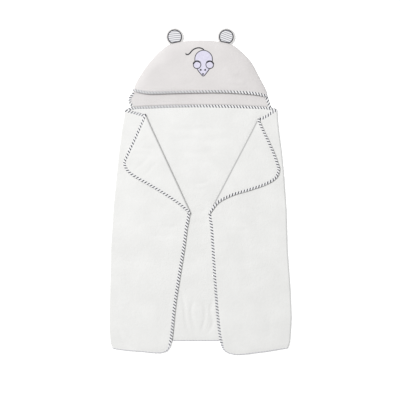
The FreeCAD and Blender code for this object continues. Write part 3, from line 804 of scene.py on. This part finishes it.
def ribsFor(path, ends, reach=34.0):
    # ribs across a counterclockwise line, slanted towards each end so that it lies along its fold
    tangent = np.gradient(path, axis=0)
    tangent /= np.linalg.norm(tangent, axis=1)[:, None]
    inward = np.column_stack([-tangent[:, 1], tangent[:, 0]])
    along = lengthAlong(path)
    lean = np.zeros(len(path))
    for end, fold in zip((0, -1), ends):
        if fold is None:
            continue
        line = fold.along if fold.along @ inward[end] > 0 else -fold.along
        wanted = float(np.clip((line @ tangent[end]) / (line @ inward[end]), -3, 3))
        far = along if end == 0 else along[-1] - along
        lean += wanted * (1 - ease(far / reach))
    return inward + tangent * lean[:, None], lean


def addBend(path, ribs, lean, end, fold):
    # carries a tape's end on round the bend of its fold, inward from the fold line
    steps = np.linspace(0, bendLength, 9)[1:]
    more = path[end] - steps[:, None] * fold.outward
    rib, slant = ribs[end], np.full(len(steps), lean[end])
    if end == 0:
        parts = ([more[::-1], path], [[rib] * len(steps), ribs], [slant, lean])
    else:
        parts = ([path, more], [ribs, [rib] * len(steps)], [lean, slant])
    return np.vstack(parts[0]), np.vstack(parts[1]), np.concatenate(parts[2])


def zoneRing(value, fold=None):
    # a zone of the flat cut, with a strip for the bend added behind its fold line
    ring = clipped(outline, value)
    if fold is None:
        return ring
    on = np.where(np.abs(fold.beyond(ring)) < 1e-6)[0]
    t = (ring[on] - fold.point) @ fold.along
    order = sorted((on[t.argmin()], on[t.argmax()]))
    a, b = ring[order[0]], ring[order[1]]
    steps = np.linspace(0, bendLength, 6)[1:]
    down = [a - s * fold.outward for s in steps]
    up = [b - s * fold.outward for s in steps[::-1]]
    if order[1] - order[0] == 1:
        return np.vstack([ring[:order[0] + 1], down, up, ring[order[1]:]])
    up = [b - s * fold.outward for s in steps]
    down = [a - s * fold.outward for s in steps[::-1]]
    return np.vstack([ring, up, down])


# the body: the back stays down, the flaps and lapels are turned on their folds

def beyondOf(side):
    return folds[side].beyond, creases[side].beyond


def backValue(q):
    return -np.maximum(folds["left"].beyond(q), folds["right"].beyond(q))


def flapValue(side):
    d, e = beyondOf(side)
    return lambda q: np.minimum(d(q), -e(q))


def lapelValue(side):
    d, e = beyondOf(side)
    return lambda q: np.minimum(d(q), e(q))


def hemShare(path):
    # 1 along the hem and 0 elsewhere: there the tape is rolled under and little of it shows
    return ease((-path[:, 1] - 660) / 42)


def bindRuns(name, value, place, ends, seams=(), wide=None):
    # tapes along every free edge of a zone; ends lists which fold each end meets, run by run
    made = []
    for index, run in enumerate(cutRuns(outline, value)):
        path = evenly(run, 3.0)
        meets = [
            next((f for f in ends if abs(f.beyond(p[None])[0]) < 0.01), None)
            for p in (path[0], path[-1])
        ]
        ribs, lean = ribsFor(path, meets)
        for end, fold in ((0, meets[0]), (-1, meets[1])):
            if fold is not None and fold in seams:
                path, ribs, lean = addBend(path, ribs, lean, end, fold)
        share = hemShare(path)
        width = (wide or bindingSection["width"]) * (1 - share) + bindingSection["hem"] * share
        made.append(tape(
            "%s_%d" % (name, index + 1), path, ribs, lean, place, width, 0.75 * share,
            cutOtherWay=name == "back_tape",
        ))
    return made


def bendBetween(obj, fromAbove=False):
    # bakes the piece's placement into its mesh; fromAbove makes no difference
    if fromAbove:
        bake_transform(obj)
    else:
        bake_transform(obj)


backPlace = lay(placeBack, "back")
backRing = zoneRing(backValue)
backCloth = clothSheet("back_cloth", backRing, backPlace, bodyTerry, 1.0, boundEdge=outline)
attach(backCloth, "back")
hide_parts("back_panel")
backTapes = bindRuns("back_tape", backValue, backPlace, [folds["left"], folds["right"]])
for piece in backTapes:
    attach(piece, "back")
    middle = np.mean([v.co.y for v in piece.data.vertices]) / mm
    piece.name = "neck_tape" if middle > -100 else "back_hem_tape"
    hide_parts("neck_binding" if middle > -100 else "back_hem_binding")
print("back laid")

foldShade = {"left": 0.05, "right": 0.22, "leftLapel": 0.45, "rightLapel": 1.0}


def paintedFoldShade(fold, name):
    # how much painted shade a fold puts on the terry, from its far side to a little beyond it
    def shadeAt(q):
        d = fold.beyond(q)
        return foldShade[name] * ease((d + bendLength) / 2.0) * ease((1.6 - d) / 2.6)

    return shadeAt


flapCloths, lapelCloths, flapTapes, lapelTapes = {}, {}, {}, {}
for side in ("left", "right"):
    fold, crease = folds[side], creases[side]
    place = lay(placeFlap(side), side + "Flap")
    ring = zoneRing(flapValue(side), fold)
    flap = clothSheet(
        side + "_flap_cloth", ring, place, bodyTerry, 2.0, outline, fold,
        shadeAt=paintedFoldShade(fold, side),
    )
    tapes = bindRuns(side + "_flap_tape", flapValue(side), place, [fold, crease], [fold])
    for piece in [flap, *tapes]:
        bendBetween(piece, side == "left")
    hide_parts(side + "_flap_panel", side + "_side_fold")
    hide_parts(side + "_flap_binding", side + "_side_fold_binding")
    flapCloths[side], flapTapes[side] = flap, tapes

    place = lay(placeLapel(side), side + "Lapel")
    ring = zoneRing(lapelValue(side), crease)
    lapel = clothSheet(
        side + "_lapel_cloth", ring, place, bodyTerry, 3.0, outline, crease,
        shadeAt=paintedFoldShade(crease, side + "Lapel"),
    )
    tapes = bindRuns(
        side + "_lapel_tape", lapelValue(side), place, [crease], [crease], bindingSection["lapel"],
    )
    for piece in [lapel, *tapes]:
        bendBetween(piece, side == "right")
    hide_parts(side + "_lapel_panel", side + "_lapel_crease")
    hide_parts(side + "_lapel_binding", side + "_lapel_crease_binding")
    lapelCloths[side], lapelTapes[side] = lapel, tapes
    print(side, "side folded")


# the hood: a flat back sewn to the neck, and a front that stands on their curved seam

hoodCut = {
    "sideCentre": (-50, -27), "sideRadius": 257,
    "crownCentre": (0, -183), "crownRadius": 382,
    "rightEdge": [(212, 4), (206, 20), (197.5, 40)],
    "leftEdge": [(-199, 47), (-212, 36), (-218, 22), (-212, 4)],
    "opening": [(-197, 49), (-178, 44), (-150, 39.5), (-80, 40), (0, 41.5), (60, 42), (120, 40),
                (170, 36), (195, 31)],
    "leanLeft": 5.0, "leanAt": 80.0, "leanReach": 70.0,
    "spread": 4.5, "spreadAt": 56.0, "spreadReach": 52.0,
    "seamRise": 1.0, "seamReach": 14.0, "thinReach": 9.0,
    "seamThin": 0.5, "rollWidth": 30.0, "seamHeight": 3.7, "topHeight": 10.9,
    "openingSag": 1.8, "sagReach": 46.0,
}


def arcPoints(centre, radius, start, end, sign=1):
    # from one angle to another, in degrees; sign -1 flips it to the left
    step = 1.2 if end > start else -1.2
    angles = np.radians(np.arange(start, end + step / 2, step))
    x = centre[0] + radius * np.cos(angles)
    return np.column_stack([sign * x, centre[1] + radius * np.sin(angles)])


def hoodSeam():
    # from the right end of the opening over the crown to its left end
    right = arcPoints(hoodCut["sideCentre"], hoodCut["sideRadius"], 15.4, 55.0)
    crown = arcPoints(hoodCut["crownCentre"], hoodCut["crownRadius"], 77.6, 102.4)
    left = arcPoints(hoodCut["sideCentre"], hoodCut["sideRadius"], 55.0, 17.0, sign=-1)
    return evenly(np.vstack([right, crown, left]), 3.0)


seam = hoodSeam()


def leanHood(p):
    # the hood lies a little towards the left, and its lower part is pressed wider
    shift = hoodCut["leanLeft"] * bump(p[:, 1], hoodCut["leanAt"], hoodCut["leanReach"])
    spread = hoodCut["spread"] * bump(p[:, 1], hoodCut["spreadAt"], hoodCut["spreadReach"])
    return np.column_stack([p[:, 0] - shift + spread * p[:, 0] / 200, p[:, 1:]])


def placeHoodBack(q, rise):
    near = distanceTo(q, seam)
    height = backMid + hoodCut["seamRise"] * (1 - ease(near / hoodCut["seamReach"])) + rise
    p = np.column_stack([q, height])
    p[:, 2] += swell(p)
    return leanHood(settled(p))


hoodCreases = [
    ([(70, 118), (98, 100), (118, 96)], 1.6, 7),
    ([(80, 82), (108, 72), (140, 76)], 1.4, 8),
    ([(-150, 58), (-60, 56), (20, 60)], 0.8, 7),
    ([(40, 62), (100, 58), (160, 62)], 0.9, 7),
    ([(-120, 120), (-90, 140), (-60, 146)], 0.8, 9),
]


def hoodTopMid(q):
    near = distanceTo(q, seam)
    rolled = np.sin(np.clip(near / hoodCut["rollWidth"], 0, 1) * math.pi / 2)
    height = hoodCut["seamHeight"] + (hoodCut["topHeight"] - hoodCut["seamHeight"]) * rolled
    sag = hoodCut["openingSag"] * ease(1 - (q[:, 1] - 42) / hoodCut["sagReach"])
    return height - sag * rolled


def placeHoodFront(q, rise):
    p = np.column_stack([q, hoodTopMid(q) + rise])
    lift = swell(p)
    for line, height, width in hoodCreases:
        lift += ridge(p, line, height, width)
    p[:, 2] += lift
    return leanHood(settled(p))


def seamThinning(q):
    near = distanceTo(q, seam)
    return hoodCut["seamThin"] + (1 - hoodCut["seamThin"]) * ease(near / hoodCut["thinReach"])


neckLine = np.array([(-212, 4), (212, 4)], float)
hoodBackRing = np.vstack([
    evenly(neckLine, 3.0)[1:-1], smoothLine(hoodCut["rightEdge"], 3.0)[:-1], seam,
    smoothLine(hoodCut["leftEdge"], 3.0)[1:],
])
openingLine = smoothLine(hoodCut["opening"], 3.0)
frontRing = np.vstack([openingLine, seam[1:-1]])
hoodEdges = {side: smoothLine(hoodCut[side + "Edge"], 3.0) for side in ("right", "left")}


def pressUnder(q, tapeLines):
    inset = np.min([distanceTo(q, line) for line in tapeLines], axis=0)
    pressed = cloth["pressed"] / cloth["thick"]
    return pressed + (1 - pressed) * bound(inset)


def hoodSheet(name, ring, place, tapeLines, seed):
    return clothSheet(
        name, ring, place, hoodTerry, seed,
        pressAt=lambda q: seamThinning(q) * pressUnder(q, tapeLines),
    )


hoodBack = hoodSheet("hood_back_cloth", hoodBackRing, placeHoodBack, list(hoodEdges.values()), 4.0)
hoodFront = hoodSheet("hood_front_cloth", frontRing, placeHoodFront, [openingLine], 6.0)
edgeTapes = {}
for side, line in hoodEdges.items():
    ribs, lean = ribsFor(line, (None, None))
    edgeTapes[side] = tape(
        "hood_%s_edge_tape" % side, line, ribs, lean, placeHoodBack, cutOtherWay=True,
    )
openingTape = tape(
    "hood_opening_tape", openingLine, *ribsFor(openingLine, (None, None)), placeHoodFront,
    np.full(len(openingLine), bindingSection["neck"]), cutOtherWay=True,
)
for piece in (hoodBack, *edgeTapes.values()):
    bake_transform(piece)
for piece in (hoodFront, openingTape):
    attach(piece, "hood")
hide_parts("hood_back_panel")
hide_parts("hood_front_panel")
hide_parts("hood_opening_binding")
for side, piece in edgeTapes.items():
    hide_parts("hood_%s_edge_binding" % side)
print("hood made")


# what lies on the hood or on an ear takes its height from the surface under it

def surfaceOf(obj):
    mesh = obj.data
    points = [tuple(v.co) for v in mesh.vertices]
    return BVHTree.FromPolygons(points, [tuple(f.vertices) for f in mesh.polygons])


def heightOn(tree, q):
    out = np.zeros(len(q))
    for k, (x, y) in enumerate(q):
        hit = tree.ray_cast(Vector((x * mm, y * mm, 0.1)), Vector((0, 0, -1)))
        if hit[0] is None:
            hit = tree.find_nearest(Vector((x * mm, y * mm, 0.006)))
        out[k] = hit[0].z / mm
    return out


def smoothed(values, faces, rounds=2):
    # evens out heights over a patch
    links = [[] for _ in values]
    for face in faces:
        for a, b in zip(face, face[1:] + face[:1]):
            links[a].append(b)
            links[b].append(a)
    for _ in range(rounds):
        values = np.array([(values[k] + values[near].mean()) / 2 if near else values[k]
                           for k, near in enumerate(links)])
    return values


def patch(name, rings, tree, thick, material, cell=2.4, flatUv=lambda q: q):
    # thin closed pieces of cotton, laid on a surface; flatUv turns their pattern
    points, faces, uvs = [], [], []
    start = 0
    for ring in rings:
        flat, inner = fill(evenly(ring, cell, closed=True), cell)
        base = smoothed(heightOn(tree, flat), inner)
        n = len(flat)
        points += [np.column_stack([flat, base + thick]), np.column_stack([flat, base - 0.15])]
        for face in inner:
            faces.append(tuple(start + i for i in face))
            faces.append(tuple(start + n + i for i in reversed(face)))
            uvs += [flatUv(flat[list(face)]), flatUv(flat[list(reversed(face))])]
        for a, b in boundaryLoop(inner):
            faces.append((start + b, start + a, start + n + a, start + n + b))
            uvs.append(flatUv(flat[[b, a, a, b]]))
        start += 2 * n
    return makeObject(name, np.vstack(points), faces, uvs, material)


def satin(name, lines, tree, width, height, material):
    # raised bands of dense stitches; lines are (points, closed)
    points, faces, uvs = [], [], []
    start = 0
    turns = np.radians([0, 22, 48, 75, 105, 132, 158, 180])
    for line, closed in lines:
        path = evenly(line, min(1.3, np.ptp(line, axis=0).max() / 5), closed=closed)
        n = len(path)
        if closed:
            tangent = np.roll(path, -1, axis=0) - np.roll(path, 1, axis=0)
        else:
            tangent = np.gradient(path, axis=0)
        tangent /= np.linalg.norm(tangent, axis=1)[:, None]
        aside = np.column_stack([-tangent[:, 1], tangent[:, 0]])
        taper = np.ones(n)
        if not closed:
            taper = np.clip(np.minimum(np.arange(n), np.arange(n)[::-1]) / 2.0, 0.35, 1)
        m = len(turns)
        rings = []
        for k, turn in enumerate(turns):
            across = width / 2 * math.cos(turn)
            flat = path + aside * (across * taper)[:, None]
            level = heightOn(tree, flat) + height * math.sin(turn) * taper - 0.1
            rings.append(np.column_stack([flat, level]))
        points.append(np.stack(rings, axis=1).reshape(-1, 3))
        along = np.arange(n + 1) * 1.3
        last = n if closed else n - 1
        for k in range(last):
            k2 = (k + 1) % n
            for i in range(m):
                j = (i + 1) % m
                corners = ((k, i), (k, j), (k2, j), (k2, i))
                faces.append(tuple(start + at * m + turned for at, turned in corners))
                a, b = width * i / m, width * (i + 1) / m
                here, there = along[k], along[k + 1]
                uvs.append(np.array([(here, a), (here, b), (there, b), (there, a)]))
        if not closed:
            for k in (0, n - 1):
                faces.append(tuple(start + k * m + i for i in range(m)))
                uvs.append(np.column_stack([np.full(m, along[k]), np.arange(m) * 0.3]))
        start += n * m
    return makeObject(name, np.vstack(points), faces, uvs, material)


satinLook = {
    "stitches": 0.00055, "colour": (0.008, 0.008, 0.013, 1.0), "worn": (0.022, 0.021, 0.030, 1.0),
}


def satinMaterial(name):
    # threads side by side across the line, with a soft sheen
    material, nodes, links, shader, cut = newMaterial(name)
    split = node(nodes, "SeparateXYZ")
    links.new(cut, split.inputs[0])
    thread = reckon(nodes, links, "PINGPONG", split.outputs["X"], satinLook["stitches"] / 2)
    wear = texture(nodes, links, cut, "Noise", Scale=420.0, Detail=2.0)
    dress(
        links, shader,
        ramp(nodes, links, wear, [(0.35, satinLook["colour"]), (0.75, satinLook["worn"])]),
        raised(nodes, links, thread, Strength=0.7, Distance=0.5),
        Roughness=0.5, Sheen_Weight=0.15,
    )
    return material


cottonLook = {
    "lavender": (0.70, 0.68, 0.80, 1.0), "shade": (0.62, 0.60, 0.73, 1.0), "threads": 0.0007,
    "stripe": (0.30, 0.30, 0.345, 1.0), "ground": (0.78, 0.78, 0.79, 1.0), "pitch": 0.0058,
}


def cottonMaterial(name, striped):
    # threads over and under, as two crossed rows of bumps, in mottled lavender or in stripes
    look = cottonLook
    material, nodes, links, shader, cut = newMaterial(name)
    split = node(nodes, "SeparateXYZ")
    links.new(cut, split.inputs[0])
    half = look["threads"] / 2
    rows = [reckon(nodes, links, "PINGPONG", split.outputs[axis], half) for axis in "XY"]
    weave = raised(nodes, links, reckon(nodes, links, "ADD", *rows), Strength=0.5, Distance=0.5)
    if striped:
        turns = reckon(nodes, links, "DIVIDE", split.outputs["X"], look["pitch"])
        ground, stripe = look["ground"], look["stripe"]
        stops = [(0.0, ground), (0.10, stripe), (0.36, stripe), (0.48, ground), (1.0, ground)]
        colour = ramp(nodes, links, reckon(nodes, links, "FRACT", turns), stops)
    else:
        mottle = texture(nodes, links, cut, "Noise", Scale=140.0, Detail=3.0)
        colour = ramp(nodes, links, mottle, [(0.35, look["lavender"]), (0.7, look["shade"])])
    dress(links, shader, colour, weave, Roughness=0.85, Specular_IOR_Level=0.2)
    return material


satinThread = satinMaterial("satinThread")
lavenderCotton = cottonMaterial("lavenderCotton", striped=False)
stripedCotton = cottonMaterial("stripedCotton", striped=True)


# the mouse, a plain sewn one, on the hood front

mouse = {
    "body": [(9, 168), (22, 164), (32, 154), (35, 141), (32, 127), (25.5, 113), (17, 101),
             (8, 92.5), (-1, 101), (-9.5, 113), (-14, 127), (-16.5, 141), (-14, 154), (-5, 164)],
    "ears": [((-10.0, 125.5), 11.0), ((27.0, 125.5), 11.0)],
    "brows": [(25, 178), (2, 155)],  # the dark upper strokes of the ears, in degrees
    "eyes": [((0.6, 110.5), 2.3), ((13.6, 110.5), 2.3)],
    "nose": ((7.2, 98.5), 2.0),
    "tail": [(11.5, 168), (5, 173), (-5, 175.5), (-15, 173.5), (-24, 168), (-30, 161), (-35, 156.5),
             (-41, 155.5), (-44, 160)],
    "border": 2.6, "height": 0.75, "cotton": 0.45,
}


def circle(centre, radius, step=1.5):
    turn = np.linspace(0, 2 * math.pi, max(16, int(2 * math.pi * radius / step)), endpoint=False)
    return np.column_stack([centre[0] + radius * np.cos(turn), centre[1] + radius * np.sin(turn)])


hoodTree = surfaceOf(hoodFront)
bodyRing = smoothLine(mouse["body"], 2.0, closed=True)
mouseBody = patch("mouse_body_patch", [bodyRing], hoodTree, mouse["cotton"], lavenderCotton)
bodyTree = surfaceOf(mouseBody)
earRings = [circle(centre, radius) for centre, radius in mouse["ears"]]
mouseEars = patch("mouse_ear_patches", earRings, hoodTree, mouse["cotton"] + 0.5, lavenderCotton)
mouseOutline = satin(
    "mouse_border", [(bodyRing, True)], hoodTree, mouse["border"],
    mouse["height"] + 0.3, satinThread,
)
earBorders = satin(
    "mouse_ear_borders", [(ring, True) for ring in earRings], hoodTree, mouse["border"],
    mouse["height"] + 0.9, satinThread,
)
brows = []
for (centre, radius), (start, end) in zip(mouse["ears"], mouse["brows"]):
    turn = np.radians(np.linspace(start, end, 24))
    x, y = centre[0] + radius * np.cos(turn), centre[1] + (radius - 0.5) * np.sin(turn)
    brows.append((np.column_stack([x, y]), False))
mouseBrows = satin("mouse_brows", brows, hoodTree, 5.2, mouse["height"] + 1.2, satinThread)
dots = [*mouse["eyes"], mouse["nose"]]
features = [(circle(centre, radius * 0.5, 0.4), True) for centre, radius in dots]
mouseFace = satin("mouse_features", features, bodyTree, 3.4, 0.8, satinThread)
tailLine = smoothLine(mouse["tail"], 2.0)
mouseTail = satin("mouse_tail_stitch", [(tailLine, False)], hoodTree, 3.8, 0.9, satinThread)
for piece, nodesOf, slotName in (
    (mouseBody, ["mouse_body"], "mouse_cotton"),
    (mouseEars, ["mouse_ears"], "mouse_cotton"),
    (mouseOutline, ["mouse_outline"], "satin_stitch"),
    (earBorders, [], "satin_stitch"),
    (mouseBrows, [], "satin_stitch"),
    (mouseFace, ["mouse_face"], "satin_stitch"),
    (mouseTail, ["mouse_tail"], "satin_stitch"),
):
    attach(piece, "hood")
    if nodesOf:
        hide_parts(*nodesOf)
print("mouse sewn on")


# ears: two plies sewn round the rim and blown out a little, with a striped patch on the front

ear = {
    "centre": (76.0, 209.0), "radius": 26.5, "lean": 22.0, "patch": 20.0, "border": 3.6,
    "rimHalf": 1.1, "rise": 3.4, "pressure": 3.0, "cap": 1.6, "frames": 20, "cell": 2.2,
    "tilt": {"left": 84.0, "right": 70.0},
    "root": (91.0, 188.0), "bendReach": (0.3, 8.0), "bendHeight": 3.5,
}


def earFrame(side):
    sign = -1 if side == "left" else 1
    lean = math.radians(ear["lean"])
    up = np.array([sign * math.sin(lean), math.cos(lean)])
    return np.array([sign * ear["centre"][0], ear["centre"][1]]), up, sign


hoodRing = np.vstack([seam, [[-150, 40], [150, 40]]])


def outsideHood(q, clear):
    return np.where(insideOf(q, hoodRing), -1, 1) * distanceTo(q, hoodRing, closed=True) - clear


def earRing(side, radius, clear):
    return clipped(circle(earFrame(side)[0], radius, 1.2), lambda q: outsideHood(q, clear))


def puffed(obj, cap):
    # air pressure between the two plies, held back so that no point moves further than cap
    before = np.array([v.co for v in obj.data.vertices])
    air = obj.modifiers.new("air", "CLOTH")
    air.settings.quality = 6
    air.settings.mass = 0.2
    air.settings.use_pressure = True
    air.settings.uniform_pressure_force = ear["pressure"]
    air.settings.tension_stiffness = 25
    air.settings.compression_stiffness = 25
    air.settings.bending_stiffness = 0.4
    air.settings.effector_weights.gravity = 0
    air.point_cache.frame_start, air.point_cache.frame_end = 1, ear["frames"]
    for number in range(1, ear["frames"] + 1):
        bpy.context.scene.frame_set(number)
    shaped = obj.evaluated_get(bpy.context.evaluated_depsgraph_get())
    after = np.array([v.co for v in shaped.data.vertices])
    obj.modifiers.remove(air)
    bpy.context.scene.frame_set(1)
    move = after - before
    size = np.maximum(np.linalg.norm(move, axis=1), 1e-9)
    move *= (np.minimum(size, cap * mm) / size)[:, None]
    for v, m in zip(obj.data.vertices, move):
        v.co += Vector(m)
    furthest = float(np.linalg.norm(move, axis=1).max()) / mm
    print(obj.name, "blown out by up to", round(furthest, 2), "mm")


def makeEar(side):
    sign = earFrame(side)[2]
    ring = earRing(side, ear["radius"] - 0.6, 0.6)
    flat, inner = fill(evenlyCornered(ring, ear["cell"], 40), ear["cell"])
    rim = distanceTo(flat, ring, closed=True)
    near = outsideHood(flat, 0.0)
    crown = ear["rimHalf"] + 0.5 * ease(rim / 7) * ease(near / 10)
    middle = ear["rise"] + 0.35 * noiseAt(flat, 20, 3.3 + sign)
    plies = [np.column_stack([flat, height]) for height in (middle + crown, middle - crown)]
    faces, uvs = closedFaces(flat, inner)
    made = makeObject(side + "_ear_cloth", np.vstack(plies), faces, uvs, earTerry)
    puffed(made, ear["cap"])
    return made


for side in ("left", "right"):
    centre, up, sign = earFrame(side)
    earCloth = makeEar(side)
    tree = surfaceOf(earCloth)
    ring = earRing(side, ear["patch"], 1.6)
    turn = math.radians(ear["tilt"][side])
    across = np.array([math.cos(turn), math.sin(turn)])
    stripes = patch(
        side + "_ear_stripes", [ring], tree, 0.4, stripedCotton, 2.0,
        lambda q: np.column_stack([q @ across, q @ np.array([-across[1], across[0]])]),
    )
    edge = satin(side + "_ear_border", [(ring, True)], tree, ear["border"], 1.0, satinThread)
    root = np.array([sign * ear["root"][0], ear["root"][1]]) @ up
    start, end = (
        np.append((centre + up * (root + reach - centre @ up)) * mm, ear["bendHeight"] * mm)
        for reach in ear["bendReach"]
    )
    for piece, nodesOf, slotName in (
        (earCloth, [side + "_ear_back", side + "_ear_front", side + "_ear_root"], "hood_terry"),
        (stripes, [side + "_ear_patch"], "striped_patch"),
        (edge, [side + "_ear_outline"], "satin_stitch"),
    ):
        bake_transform(piece)
        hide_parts(*nodesOf)
print("ears made")


# each flap's and lapel's zone of the flat cut, worked out once more and left unused

for side in ("left", "right"):
    flapRing = zoneRing(flapValue(side), folds[side])
    lapelRing = zoneRing(lapelValue(side), creases[side])


# a white surface, soft light from the upper left, and a camera straight above

stage = {
    "size": 6.0, "drop": 0.0006, "glow": 0.30,
    "window": (-2.3, 1.4, 4.7), "area": 252.0, "areaSize": 2.2, "world": 0.46,
    "lens": 85, "camera": (-0.0015, -0.2906, 2.876),
}
bpy.ops.mesh.primitive_plane_add(size=stage["size"], location=(0, -0.25, -stage["drop"]))
floor = bpy.context.object
floor.name = "white_surface"
material, nodes, links, shader, cut = newMaterial("whiteSurface")
grain = texture(nodes, links, cut.node.outputs["Object"], "Noise", Scale=40.0)
tone = ramp(nodes, links, grain, [(0.3, grey(0.965)), (0.7, grey(0.975))])
links.new(tone, shader.inputs["Base Color"])
shader.inputs["Roughness"].default_value = 0.9
shader.inputs["Emission Color"].default_value = (1, 1, 1, 1)
shader.inputs["Emission Strength"].default_value = stage["glow"]
floor.data.materials.append(material)

world = bpy.data.worlds.new("room")
bpy.context.scene.world = world
world.use_nodes = True
world.node_tree.nodes["Background"].inputs["Color"].default_value = (1, 1, 1, 1)
world.node_tree.nodes["Background"].inputs["Strength"].default_value = stage["world"]
bpy.ops.object.light_add(type="AREA", location=stage["window"])
window = bpy.context.object
window.data.energy = stage["area"]
window.data.size = stage["areaSize"]
toward = Vector((0, -0.25, 0)) - window.location
window.rotation_euler = toward.to_track_quat("-Z", "Y").to_euler()

bpy.context.scene.view_settings.view_transform = "Standard"
camera = bpy.data.objects.new("camera", bpy.data.cameras.new("camera"))
bpy.context.scene.collection.objects.link(camera)
camera.data.lens = stage["lens"]
camera.data.sensor_width = 36
camera.location = stage["camera"]
bpy.context.scene.camera = camera
print("stage set")
